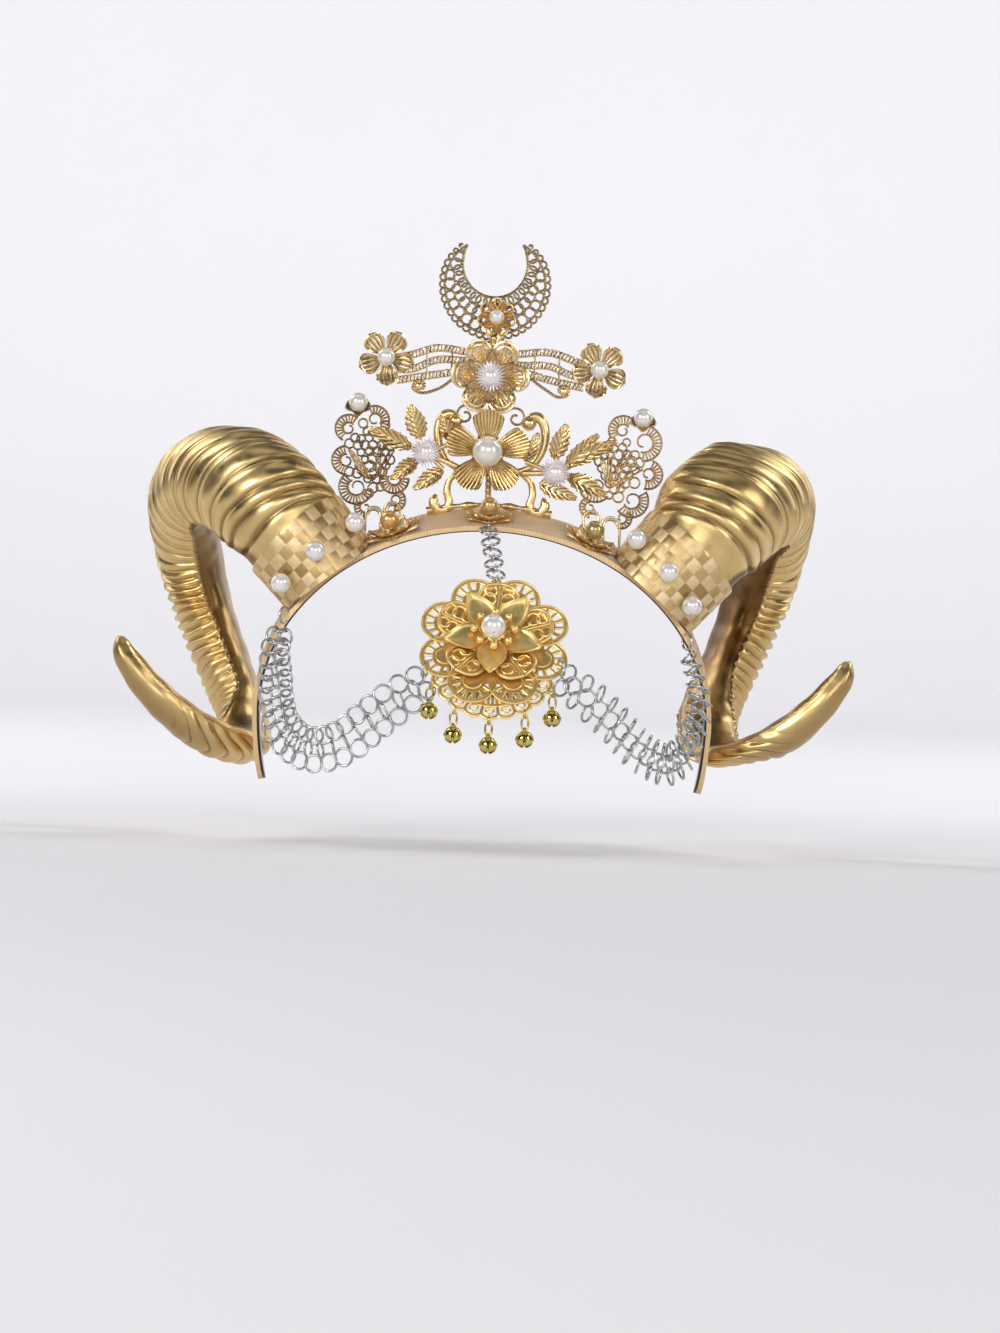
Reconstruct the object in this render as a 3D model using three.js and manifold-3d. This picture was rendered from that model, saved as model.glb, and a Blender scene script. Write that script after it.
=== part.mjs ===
// Ram horn headdress: two ridged horns and a filigree tiara on a covered hairband, with a chain,
// a flower pendant with bells and two chain-mail drapes that hang over the brow.
// Millimetres. The wearer faces -Y, +X is to the viewer's right and +Z is up.
// The origin is the underside of the hairband at its top centre.

import * as THREE from 'three';
import { mergeVertices } from 'three/addons/utils/BufferGeometryUtils.js';
import Module from 'manifold-3d';

const GAP = 0.3; // clearance between pieces that touch
const DEGREE = Math.PI / 180;

// Hairband: an arch of strip that leans forward at the top and narrows to its ends
const BAND_HALF_SPAN = 88.5;
const BAND_RISE = 76; // from the widest point up to the top
const BAND_ARM_CURVE = 110; // upright semi-axis of the curve below the widest point
const BAND_END_ANGLE = 105; // sweep from the top to each end, degrees
const BAND_WIDTH = 25;
const BAND_END_WIDTH = 12;
const BAND_LEAN = 20; // degrees
const BAND_STEPS = 44;
const BAND_TAPER_START = 50; // sweep where the band starts to narrow, degrees
const CORE_THICKNESS = 1.6;
const COVER_THICKNESS = 1.2;
const COVER_INSIDE = CORE_THICKNESS + GAP;
const COVER_OUTSIDE = COVER_INSIDE + COVER_THICKNESS;
const SADDLE = { width: 56, depth: 40, end: 82 }; // the band under the horns, out to a sweep in degrees

// Left horn, base to tip: centre line, width across, depth outside and inside the centre line
const HORN_STATIONS = [
  // x, y, z, width, outside, inside
  [-62, 0, -27.5, 40, 19, 18],
  [-80.5, 3, -7.5, 41, 21.5, 18],
  [-96.5, 9, 8, 42, 22, 17],
  [-109.5, 22, 15.5, 40, 20, 13],
  [-119, 40, 8.5, 37, 16, 9],
  [-120, 57, -11, 33, 13, 7],
  [-114, 63, -35, 29.5, 11, 5.5],
  [-104, 55, -60, 26.5, 10, 5],
  [-95.5, 38, -79.5, 23.5, 9.5, 5],
  [-97, 16, -90, 21, 9, 5.5],
  [-111, 1, -86.5, 18.5, 8, 6],
  [-128.5, -7, -74, 15, 7, 5.5],
  [-141.5, -10, -58.5, 10, 5, 4.5],
  [-145.5, -9, -50, 5, 2.4, 2.4],
];
const HORN_CURL_CENTRE = [-88, 20, -40];
const HORN_SIDES = 10;
const HORN_RIDGES = 22;
const HORN_RIDGE_START = 28; // distances along the centre line
const HORN_RIDGE_END = 268;
const HORN_RIDGE_HEIGHT = 2;
const HORN_RIDGE_CROWDING = 0.35; // how much closer the ridges lie toward the tip
const HORN_TIP_RINGS = 4;

// Cuffs round the horn bases, with three pearls each
const CUFF_STOPS = [0, 13.5, 27]; // along the horn from its first station
const CUFF_WALL = 1.2;
const CUFF_PEARL_RADIUS = 4;
const CUFF_PEARL_ALONG = 13.5;
const CUFF_PEARL_ANGLES = [-2, -53, -100];

// Tiara layers, back to front, on the rear half of the band
const CROWN_Y = 8; // plane of the cast rods
const ROD = 1.5; // radius of the thickest cast rod
const PLATE = 1.2; // thickness of pierced plates
const REAR_PLATE_Y = CROWN_Y + ROD + GAP; // front face of the plates behind the rods
const FRONT_SEAT_Y = CROWN_Y - ROD - GAP; // back of the flowers in front of the rods

// Crescent: two arcs that share their tips
const CRESCENT = { x: -0.9, tipHalfGap: 12.5, tipZ: 113, outerBottom: 75.1, innerBottom: 91.6, scallop: 0.9 };
const CRESCENT_CELLS = { columns: 7, rows: 2 };
const CRESCENT_NECK = { width: 7, bottom: 72.4, top: 78 };

// Wings: the right one's upper and lower edges, each a start, control and end in x and z
const WING_UPPER = [[8, 70.5], [24, 73.5], [39, 66]];
const WING_LOWER = [[8, 60.5], [22, 49.5], [39, 56.5]];
const WING_CELLS = { columns: 2, rows: 3 };
const WING_HUB = { z: 62.6, radius: 9.5 };

// Flowers that face the viewer: petal forms, then centres, turns in degrees and the height of the foot
const SMALL_PETALS = { petals: 6, reach: 7, notch: 0.55, shoulder: 0.9, hub: 2.5, cup: 1.6, rows: 1 };
const WING_PETALS = { petals: 5, reach: 11, notch: 0.36, shoulder: 0.82, hub: 3, cup: 2.8 };
const ROSETTE_PETALS = { petals: 6, reach: 15, notch: 0.5, shoulder: 0.92, hub: 5, cup: 3 };
const MAIN_PETALS = { petals: 5, reach: 16.5, notch: 0.42, shoulder: 0.95, hub: 5, cup: 2 };
const FLOWERS = {
  crescent_flower: { ...SMALL_PETALS, x: 0.4, z: 83.5, turn: 15 },
  wing_flower_left: { ...WING_PETALS, x: -43.4, z: 65.8, turn: 24 },
  wing_flower_right: { ...WING_PETALS, x: 42.4, z: 63.6, turn: 10 },
  rosette: { ...ROSETTE_PETALS, x: -1.3, z: 59.3, turn: 30 },
  main_flower: { ...MAIN_PETALS, x: -1.4, z: 28.8, turn: -18, foot: 2 },
};
const PETAL_THICKNESS = 0.9;

// Pearls on the flowers: plain balls by radius, burst beads with a spiky saucer
const FLOWER_PEARLS = { crescent: 3, wing: 3.7, main: 6 };
const BURST_PROFILE = [
  // radius, height
  [0, 0], [2.5, 0], [6.2, 1.4], [6.2, 1.9], [3.7, 1.7], [3.7, 3.3], [2.6, 5.1], [0, 6],
];

// Cast scrolls and feet, right side: x and z down the rod
const SCROLL_PATH = [[14.4, 42.4], [17.4, 44], [21, 40.4], [21.2, 33], [18.2, 26], [11, 21.2], [0, 20.5]];
const SCROLL_BALL = { x: 14.2, z: 41.2, radius: 3.1 };
const FOOT_PATH = [[13, 21], [17.4, 15.8], [15.4, 10], [17.6, 6.6], [21.4, 6.2], [22.6, 9]];
const STEM = { x: -0.6, top: 76 };
const BASE_BAR_HALF = 25;

// Leaf sprays: a hub, an arm in to the scroll and leaves by base, tip and width
const SPRAYS = {
  left: {
    hub: [-26, 28],
    arm: [-13, 22.5],
    // base x, base z, tip x, tip z, width
    leaves: [
      [-31.7, 29.6, -49, 36.8, 7.5],
      [-28.2, 33.4, -33.2, 46.5, 9],
      [-29.4, 25.1, -39.2, 17.2, 7],
      [-19, 21.6, -30.2, 13.4, 7],
    ],
  },
  right: {
    hub: [26, 21.5],
    arm: [13, 21],
    leaves: [
      [25.3, 26.9, 29.9, 40.9, 8],
      [31.2, 25.4, 49.9, 34.9, 7],
      [29.8, 23.5, 42.5, 37.2, 7],
      [30.8, 20.6, 46.5, 13.4, 8],
      [20, 16.6, 34.6, 11.6, 7],
    ],
  },
};
const LEAF_FOLD = 1.2;
const LEAF_STALK_SHARE = 0.2; // how far up the leaf its stalk runs
const SPRAY_HUB_RADIUS = 4.5;
const SPRAY_ROD = 0.9;

// Lace plates: lobes round a centre, as seen on the left one
const LACE_CENTRES = { left: [-49, 22], right: [54.5, 20.5] };
const LACE_LOBES = [
  // direction in degrees, reach
  [76, 24], [103, 24.5], [131, 21.5], [172, 16.5], [236, 15.5], [287, 23], [325, 18], [390, 16],
];
const LACE_VALLEY = 0.8; // reach between two lobes, as a share of theirs
const LACE_EYE = 2.4; // radius of the middle hole
const LACE_FOOT = { inward: 5.5, width: 5, top: -18 }; // top is measured from the plate's centre
const LACE_PEARLS = { left: [-53.9, 47.2], right: [60.6, 44.8] };
const LACE_PEARL_RADIUS = 3.9;

// Beads on pointed flowers that lie on the band
const BASE_FLOWERS = {
  // x, y, reach, bead radius
  centre: [0.3, -2.5, 9.4, 3.5],
  left: [-37.6, -3, 11, 3.9],
  right: [40.5, -3, 10.5, 3.9],
};
const BASE_PETALS = { petals: 6, notch: 0.42, shoulder: 0.66, hub: 3.5, cup: 1.4, rows: 1 };

// Pendant: a leaning disc in front of the brow
const PENDANT_CENTRE = [4, -55.5, -47.5];
const PENDANT_LEAN = 33; // degrees back from upright
const PENDANT_RADIUS = 28.2;
const PENDANT_LOBES = 8;
const PENDANT_NOTCH = 0.82; // radius between two lobes, as a share of theirs
const PENDANT_EYE = 11;
const PENDANT_PLATE = 1;
const PENDANT_FAN = [
  // corners of the fan-shaped hole in a lobe: radius and turn in degrees
  [15, 9], [22.5, 13], [25.6, 7], [25.6, -7], [22.5, -13], [15, -9],
];
const PENDANT_LOOP = { radius: 2.6, wire: 0.6 };
const PENDANT_LOOP_V = 25.5; // up the plane from the centre
const PENDANT_FLOWER_V = 2;
const PENDANT_PEARL_RADIUS = 4.5;
const PENDANT_FLOWER = {
  boss: 4.6, // radius
  bossHeight: 4,
  outer: { petals: 8, reach: 21, notch: 0.62, shoulder: 0.93, hub: 12.5, cup: 5, turn: 0 },
  inner: { petals: 6, reach: 13, notch: 0.5, shoulder: 0.76, hub: 4, cup: 5, turn: 15 },
  innerLift: 1.4,
};
const SKIRT = { drop: 10, inner: 12, outer: 25, scallop: 2, start: 192, end: 344, cells: 5, rows: 2 };
const BELL_RADIUS = 3.6;
const BELL_LOOP = { radius: 1.6, wire: 0.45 };

// Chain and drapes
const LINK = { wire: 0.5, count: 5 };
const CHAIN_TILT = 40; // turn of alternate links about the chain, degrees
const DRAPE = { width: 18, thickness: 1.6, columns: 7, rows: 2, notch: 0.86 };
const DRAPE_TAPER = { pendantShare: 0.2, bandShare: 0.5, slope: 4 }; // shares of the width at the two ends
const DRAPE_LEFT_PATH = [
  // x, y, z from the pendant to the band
  [-22, -65.4, -62.6], [-34, -66, -74.5], [-45.5, -58, -84.6], [-54.8, -51, -88.9], [-63.7, -42, -89.3],
  [-71.2, -33, -85.1], [-76.6, -26, -77.5], [-80, -21, -69.1], [-82, -17.5, -59.3], [-82.4, -15, -51],
];
const DRAPE_RIGHT_PATH = [
  [29.4, -65.6, -63.4], [41, -64, -72.5], [50, -57, -79.5], [59, -50, -86.5], [68, -41, -91],
  [75, -33, -90.5], [80, -26, -84.5], [83, -21, -75], [84, -17.5, -64], [83.6, -15, -53],
];
const HEAD_AXIS = [0, 31]; // x and y of the upright axis that the drapes hang round

const wasm = await Module();
wasm.setup();

// Solids and meshes

function signedVolume(geometry) {
  const position = geometry.attributes.position;
  const [a, b, c] = [new THREE.Vector3(), new THREE.Vector3(), new THREE.Vector3()];
  let volume = 0;
  for (let i = 0; i < geometry.index.count; i += 3) {
    a.fromBufferAttribute(position, geometry.index.getX(i));
    b.fromBufferAttribute(position, geometry.index.getX(i + 1));
    c.fromBufferAttribute(position, geometry.index.getX(i + 2));
    volume += a.dot(b.cross(c)) / 6;
  }
  return volume;
}

// One closed mesh with shared vertices and its faces pointing out
function closed(geometry) {
  const bare = geometry.clone();
  bare.deleteAttribute('normal');
  bare.deleteAttribute('uv');
  const merged = mergeVertices(bare, 1e-4);
  if (signedVolume(merged) < 0) {
    merged.index.array.reverse();
  }
  return merged;
}

function solidOf(geometry) {
  const mesh = closed(geometry);
  return new wasm.Manifold(new wasm.Mesh({
    numProp: 3,
    vertProperties: Float32Array.from(mesh.attributes.position.array),
    triVerts: Uint32Array.from(mesh.index.array),
  }));
}

function geometryOf(solid) {
  const mesh = solid.getMesh();
  const geometry = new THREE.BufferGeometry();
  geometry.setAttribute('position', new THREE.BufferAttribute(Float32Array.from(mesh.vertProperties), 3));
  geometry.setIndex(Array.from(mesh.triVerts));
  return geometry;
}

// The pieces as one body, with any pocket that they seal between them filled
function join(geometries) {
  const whole = geometries.map(solidOf).reduce((sum, piece) => sum.add(piece));
  const skins = whole.decompose().filter((skin) => skin.volume() > 0);
  return geometryOf(wasm.Manifold.compose(skins));
}

function cut(geometry, ...tools) {
  return geometryOf(tools.reduce((rest, tool) => rest.subtract(solidOf(tool)), solidOf(geometry)));
}

function fromTriangles(points) {
  const geometry = new THREE.BufferGeometry().setFromPoints(points);
  return closed(geometry);
}

function mirrored(geometry) {
  return closed(geometry.clone().scale(-1, 1, 1));
}

// Shape makers

// A skin through rings of points with flat ends
function loft(rings) {
  const sides = rings[0].length;
  const points = [];
  rings.slice(1).forEach((ring, i) => {
    const last = rings[i];
    for (let j = 0; j < sides; j += 1) {
      const k = (j + 1) % sides;
      points.push(last[j], last[k], ring[k], last[j], ring[k], ring[j]);
    }
  });
  const first = rings[0];
  const end = rings[rings.length - 1];
  for (let j = 1; j < sides - 1; j += 1) {
    points.push(first[0], first[j + 1], first[j], end[0], end[j], end[j + 1]);
  }
  return fromTriangles(points);
}

// A rod of round section along points, with flat ends
function rod(points, radius, steps, sides = 5) {
  const section = new THREE.Shape();
  for (let i = 0; i < sides; i += 1) {
    const angle = (2 * Math.PI * i) / sides;
    const corner = [radius * Math.cos(angle), radius * Math.sin(angle)];
    if (i === 0) section.moveTo(...corner);
    else section.lineTo(...corner);
  }
  const extrudePath = new THREE.CatmullRomCurve3(points);
  return new THREE.ExtrudeGeometry(section, { steps, extrudePath });
}

function ball(radius) {
  return new THREE.SphereGeometry(radius, 10, 5);
}

// A thin curved sheet from surface(along 0..1, across -1..1), thickened along +Z
function sheet(surface, rows, columns, thickness) {
  const point = (i, j, top) => {
    const place = surface(i / rows, (2 * j) / columns - 1);
    return place.setZ(place.z + (top ? thickness : 0));
  };
  const points = [];
  const quad = (a, b, c, d) => points.push(a, b, c, a, c, d);
  for (let i = 0; i < rows; i += 1) {
    for (let j = 0; j < columns; j += 1) {
      quad(point(i, j, 1), point(i, j + 1, 1), point(i + 1, j + 1, 1), point(i + 1, j, 1));
      quad(point(i, j, 0), point(i + 1, j, 0), point(i + 1, j + 1, 0), point(i, j + 1, 0));
    }
    quad(point(i, 0, 0), point(i, 0, 1), point(i + 1, 0, 1), point(i + 1, 0, 0));
    quad(point(i, columns, 0), point(i + 1, columns, 0), point(i + 1, columns, 1), point(i, columns, 1));
  }
  for (let j = 0; j < columns; j += 1) {
    quad(point(0, j, 0), point(0, j + 1, 0), point(0, j + 1, 1), point(0, j, 1));
    quad(point(rows, j, 0), point(rows, j, 1), point(rows, j + 1, 1), point(rows, j + 1, 0));
  }
  return fromTriangles(points);
}

// Pierced work: cells with a six-sided hole each. place gives the point for a distance along
// (0..columns), across (0..rows) and through the plate (0 or 1)
function pierced({ columns, rows, web, ring = false, place }) {
  const rim = [[0, 0], [0.5, 0], [1, 0], [1, 1], [0.5, 1], [0, 1]];
  const hole = rim.map(([a, c]) => {
    const inset = a === 0.5 ? web : 1.6 * web; // corners are drawn in to round the hole
    return [a === 0.5 ? a : web + a * (1 - 2 * web), inset + c * (1 - 2 * inset)];
  });
  const points = [];
  const quad = (a, b, c, d) => points.push(a, b, c, a, c, d);
  for (let i = 0; i < columns; i += 1) {
    for (let j = 0; j < rows; j += 1) {
      const outline = (side) => rim.map(([a, c]) => place(i + a, j + c, side));
      const opening = (side) => hole.map(([a, c]) => place(i + a, j + c, side));
      const [outerTop, outerBase, holeTop, holeBase] = [outline(1), outline(0), opening(1), opening(0)];
      const [atStart, atEnd] = [!ring && i === 0, !ring && i === columns - 1];
      const onEdge = [j === 0, j === 0, atEnd, j === rows - 1, j === rows - 1, atStart];
      for (let k = 0; k < rim.length; k += 1) {
        const m = (k + 1) % rim.length;
        quad(outerTop[k], outerTop[m], holeTop[m], holeTop[k]);
        quad(outerBase[m], outerBase[k], holeBase[k], holeBase[m]);
        quad(holeTop[k], holeTop[m], holeBase[m], holeBase[k]);
        if (onEdge[k]) quad(outerBase[k], outerBase[m], outerTop[m], outerTop[k]);
      }
    }
  }
  return fromTriangles(points);
}

// Stand a shape drawn in XY up in XZ, its +Z side to the viewer, its back at the given y
function upright(geometry, x, backY, z) {
  return geometry.clone().rotateX(90 * DEGREE).translate(x, backY, z);
}

// A flower as one cupped sheet facing +Z, its back at z = 0. Each petal has a notch, two shoulders
// and a tip, as shares of the reach
function flower({ petals, reach, notch, shoulder, hub, cup, turn = 0, rows = 2 }) {
  const shares = [notch, shoulder, 1, shoulder];
  const columns = shares.length * petals;
  const point = (i, row, top) => {
    const share = row / rows;
    const angle = (i / columns) * 2 * Math.PI + turn * DEGREE;
    const radius = THREE.MathUtils.lerp(hub, reach * shares[i % shares.length], share);
    const lift = cup * (radius / reach) ** 2 * share;
    const height = lift + top * PETAL_THICKNESS;
    return new THREE.Vector3(radius * Math.cos(angle), radius * Math.sin(angle), height);
  };
  const points = [];
  const quad = (a, b, c, d) => points.push(a, b, c, a, c, d);
  for (let i = 0; i < columns; i += 1) {
    for (let row = 0; row < rows; row += 1) {
      quad(point(i, row, 1), point(i, row + 1, 1), point(i + 1, row + 1, 1), point(i + 1, row, 1));
      quad(point(i, row, 0), point(i + 1, row, 0), point(i + 1, row + 1, 0), point(i, row + 1, 0));
    }
    quad(point(i, rows, 0), point(i + 1, rows, 0), point(i + 1, rows, 1), point(i, rows, 1));
    points.push(new THREE.Vector3(0, 0, PETAL_THICKNESS), point(i, 0, 1), point(i + 1, 0, 1));
    points.push(new THREE.Vector3(), point(i + 1, 0, 0), point(i, 0, 0));
  }
  return fromTriangles(points);
}

function disc(radius, thickness) {
  return new THREE.CylinderGeometry(radius, radius, thickness, 10).rotateX(90 * DEGREE)
    .translate(0, 0, thickness / 2);
}

// Hairband

function bandFrame(angle) {
  const sweep = angle * DEGREE;
  const rise = Math.cos(sweep) > 0 ? BAND_RISE : BAND_ARM_CURVE;
  const point = new THREE.Vector3(BAND_HALF_SPAN * Math.sin(sweep), 0, rise * Math.cos(sweep) - BAND_RISE);
  const normal = new THREE.Vector3(Math.sin(sweep) * rise, 0, Math.cos(sweep) * BAND_HALF_SPAN).normalize();
  const lean = BAND_LEAN * Math.max(0, Math.cos(sweep)) * DEGREE;
  const back = new THREE.Vector3(0, 1, 0);
  const across = back.clone().multiplyScalar(Math.cos(lean)).addScaledVector(normal, Math.sin(lean));
  const out = normal.clone().multiplyScalar(Math.cos(lean)).addScaledVector(back, -Math.sin(lean));
  return { point, across, out, lean };
}

function bandPoint(frame, across, out) {
  return frame.point.clone().addScaledVector(frame.across, across).addScaledVector(frame.out, out);
}

function bandWidth(angle) {
  const share = THREE.MathUtils.smoothstep(Math.abs(angle), BAND_TAPER_START, BAND_END_ANGLE);
  return THREE.MathUtils.lerp(BAND_WIDTH, BAND_END_WIDTH, share);
}

function bandStrip(widthAt, inside, outside) {
  const rings = [];
  for (let i = 0; i <= BAND_STEPS; i += 1) {
    const angle = BAND_END_ANGLE * ((2 * i) / BAND_STEPS - 1);
    const frame = bandFrame(angle);
    const half = widthAt(angle) / 2;
    const corners = [[-half, inside], [half, inside], [half, outside], [-half, outside]];
    rings.push(corners.map(([across, out]) => bandPoint(frame, across, out)));
  }
  return loft(rings);
}

// The point of the cover's outer face at a given x and y, with its outward direction
function seatOnBand(x, y) {
  const at = (angle) => {
    const frame = bandFrame(angle);
    const across = (y + COVER_OUTSIDE * Math.sin(frame.lean)) / Math.cos(frame.lean);
    return { point: bandPoint(frame, across, COVER_OUTSIDE), out: frame.out };
  };
  let [low, high] = [-90, 90];
  for (let i = 0; i < 40; i += 1) {
    const middle = (low + high) / 2;
    if (at(middle).point.x < x) low = middle;
    else high = middle;
  }
  return at(low);
}

const bandCore = bandStrip(bandWidth, 0, CORE_THICKNESS);
const bandCover = bandStrip(bandWidth, COVER_INSIDE, COVER_OUTSIDE);
// What the horns and cuffs are cut to: the covered band and the space under it
const saddleWidth = (angle) => (Math.abs(angle) < SADDLE.end ? SADDLE.width : bandWidth(angle) + 4 * GAP);
const saddle = bandStrip(saddleWidth, -SADDLE.depth, COVER_OUTSIDE + 2 * GAP);

// Horns

const hornLine = new THREE.CatmullRomCurve3(HORN_STATIONS.map(([x, y, z]) => new THREE.Vector3(x, y, z)));
const hornSizes = new THREE.CatmullRomCurve3(HORN_STATIONS.map((row) => new THREE.Vector3(...row.slice(3))));
const hornLength = hornLine.getLength();

function hornFrame(along) {
  const share = hornLine.getUtoTmapping(Math.min(1, along / hornLength));
  const point = hornLine.getPoint(share);
  const tangent = hornLine.getTangent(share);
  const inward = new THREE.Vector3(...HORN_CURL_CENTRE).sub(point);
  inward.addScaledVector(tangent, -inward.dot(tangent)).normalize();
  const side = inward.clone().cross(tangent);
  const [width, outside, inside] = hornSizes.getPoint(share).toArray();
  return { point, inward, side, width, outside, inside };
}

function hornPoint(frame, angle, grow, ridge = 0) {
  const [cosine, sine] = [Math.cos(angle), Math.sin(angle)];
  const swell = grow + ridge * THREE.MathUtils.smoothstep(cosine, -0.4, 0.3);
  const depth = cosine > 0 ? frame.outside : frame.inside;
  return frame.point.clone()
    .addScaledVector(frame.inward, -cosine * (depth + swell))
    .addScaledVector(frame.side, sine * (frame.width / 2 + swell));
}

function hornRing(along, grow, ridge = 0) {
  const frame = hornFrame(along);
  const ring = [];
  for (let i = 0; i < HORN_SIDES; i += 1) {
    ring.push(hornPoint(frame, (2 * Math.PI * i) / HORN_SIDES, grow, ridge));
  }
  return ring;
}

function hornBody() {
  const rings = [...CUFF_STOPS, HORN_RIDGE_START].map((along) => hornRing(along, 0));
  for (let i = 1; i <= 2 * HORN_RIDGES; i += 1) {
    const share = i / (2 * HORN_RIDGES);
    const eased = share * (1 + HORN_RIDGE_CROWDING * (1 - share));
    const along = THREE.MathUtils.lerp(HORN_RIDGE_START, HORN_RIDGE_END, eased);
    const height = HORN_RIDGE_HEIGHT * (1 - 0.6 * share);
    rings.push(hornRing(along, 0, i % 2 ? height / 2 : -height / 2));
  }
  for (let i = 1; i <= HORN_TIP_RINGS; i += 1) {
    rings.push(hornRing(THREE.MathUtils.lerp(HORN_RIDGE_END, hornLength, i / HORN_TIP_RINGS), 0));
  }
  return loft(rings);
}

function cuffWall() {
  const outer = loft(CUFF_STOPS.map((along) => hornRing(along, GAP + CUFF_WALL)));
  const bore = loft([...CUFF_STOPS, HORN_RIDGE_START].map((along) => hornRing(along, GAP)));
  return cut(outer, bore, saddle);
}

// The centre of a pearl that sits on the flat facet of the cuff at an angle round the horn
function cuffPearlCentre(angle) {
  const facet = 360 / HORN_SIDES;
  const corner = Math.floor(angle / facet);
  const at = (along, step) => hornPoint(hornFrame(along), (corner + step) * facet * DEGREE, GAP + CUFF_WALL);
  const [near, far] = [at(CUFF_PEARL_ALONG, 0), at(CUFF_PEARL_ALONG, 1)];
  const lengthwise = at(CUFF_PEARL_ALONG + 1, 0).sub(near);
  const outward = far.clone().sub(near).cross(lengthwise).normalize();
  return near.lerp(far, angle / facet - corner).addScaledVector(outward, CUFF_PEARL_RADIUS + GAP);
}

// Tiara

function crescentPlate() {
  const { x, tipHalfGap, tipZ, outerBottom, innerBottom, scallop } = CRESCENT;
  const { columns, rows } = CRESCENT_CELLS;
  // An arc from the left tip down and round to the right tip, by share of its length
  const arc = (bottom) => {
    const height = tipZ - bottom;
    const radius = (height * height + tipHalfGap * tipHalfGap) / (2 * height);
    const tipAngle = Math.atan2(tipZ - bottom - radius, -tipHalfGap);
    return (share, grow) => {
      const angle = tipAngle + 2 * (270 * DEGREE - tipAngle) * share;
      const reach = radius + grow;
      return new THREE.Vector3(reach * Math.cos(angle), bottom + radius + reach * Math.sin(angle), 0);
    };
  };
  const [outer, inner] = [arc(outerBottom), arc(innerBottom)];
  const plate = pierced({
    columns,
    rows,
    web: 0.2,
    place: (along, across, side) => {
      const share = THREE.MathUtils.lerp(0.025, 0.975, along / columns);
      const bulge = along % 1 === 0 ? 0 : scallop;
      return inner(share, 0).lerp(outer(share, bulge), across / rows).setZ(side * PLATE);
    },
  });
  const neckHeight = CRESCENT_NECK.top - CRESCENT_NECK.bottom;
  const neck = new THREE.BoxGeometry(CRESCENT_NECK.width, neckHeight, PLATE)
    .translate(0, CRESCENT_NECK.bottom + neckHeight / 2, PLATE / 2);
  return upright(join([plate, neck]), x, REAR_PLATE_Y + PLATE, 0);
}

function wingBar() {
  const { columns, rows } = WING_CELLS;
  const edge = (points) => new THREE.QuadraticBezierCurve(...points.map(([x, z]) => new THREE.Vector2(x, z)));
  const [upper, lower] = [edge(WING_UPPER), edge(WING_LOWER)];
  const wing = pierced({
    columns,
    rows,
    web: 0.2,
    place: (along, across, side) => {
      const spot = lower.getPoint(along / columns).lerp(upper.getPoint(along / columns), across / rows);
      return new THREE.Vector3(spot.x, spot.y, side * PLATE);
    },
  });
  const hub = disc(WING_HUB.radius, PLATE).translate(0, WING_HUB.z, 0);
  return upright(join([hub, wing, mirrored(wing)]), 0, REAR_PLATE_Y + PLATE, 0);
}

function scrollFrame() {
  const inPlane = (points, side) => points.map(([x, z]) => new THREE.Vector3(side * x, CROWN_Y, z));
  const clear = (ROD + GAP) / Math.cos(BAND_LEAN * DEGREE);
  const barHeight = (x) => seatOnBand(x, CROWN_Y).point.z + clear;
  const barSpots = [-1, -0.5, 0, 0.5, 1].map((share) => share * BASE_BAR_HALF);
  const pieces = [
    rod(inPlane(barSpots.map((x) => [x, barHeight(x)]), 1), 0.85 * ROD, 5),
    rod(inPlane([[STEM.x, barHeight(0)], [STEM.x, STEM.top / 2], [STEM.x, STEM.top]], 1), ROD, 2),
  ];
  [-1, 1].forEach((side) => {
    pieces.push(rod(inPlane(SCROLL_PATH, side), ROD, 8));
    pieces.push(rod(inPlane(FOOT_PATH, side), 0.9 * ROD, 7));
    pieces.push(ball(SCROLL_BALL.radius).translate(side * SCROLL_BALL.x, CROWN_Y, SCROLL_BALL.z));
  });
  return join(pieces);
}

function leaf([baseX, baseZ, tipX, tipZ, width]) {
  const length = Math.hypot(tipX - baseX, tipZ - baseZ);
  const blade = sheet((u, v) => {
    const half = (width / 2) * Math.sin(Math.PI * (0.1 + 0.86 * u));
    return new THREE.Vector3(v * half, u * length, LEAF_FOLD * (1 - Math.abs(v)));
  }, 2, 2, PETAL_THICKNESS);
  return blade.rotateZ(-Math.atan2(tipX - baseX, tipZ - baseZ)).translate(baseX, baseZ, 0);
}

function leafSpray({ hub, arm, leaves }) {
  const stalk = ([x, z]) => {
    const ends = [hub, [x, z]].map((end) => new THREE.Vector3(...end, SPRAY_ROD));
    return rod(ends, SPRAY_ROD, 1, 4);
  };
  const pieces = [disc(SPRAY_HUB_RADIUS, PETAL_THICKNESS).translate(...hub, 0), stalk(arm)];
  leaves.forEach((row) => {
    const [base, tip] = [new THREE.Vector2(row[0], row[1]), new THREE.Vector2(row[2], row[3])];
    pieces.push(leaf(row), stalk(base.lerp(tip, LEAF_STALK_SHARE).toArray()));
  });
  return upright(join(pieces), 0, FRONT_SEAT_Y, 0);
}

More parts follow.
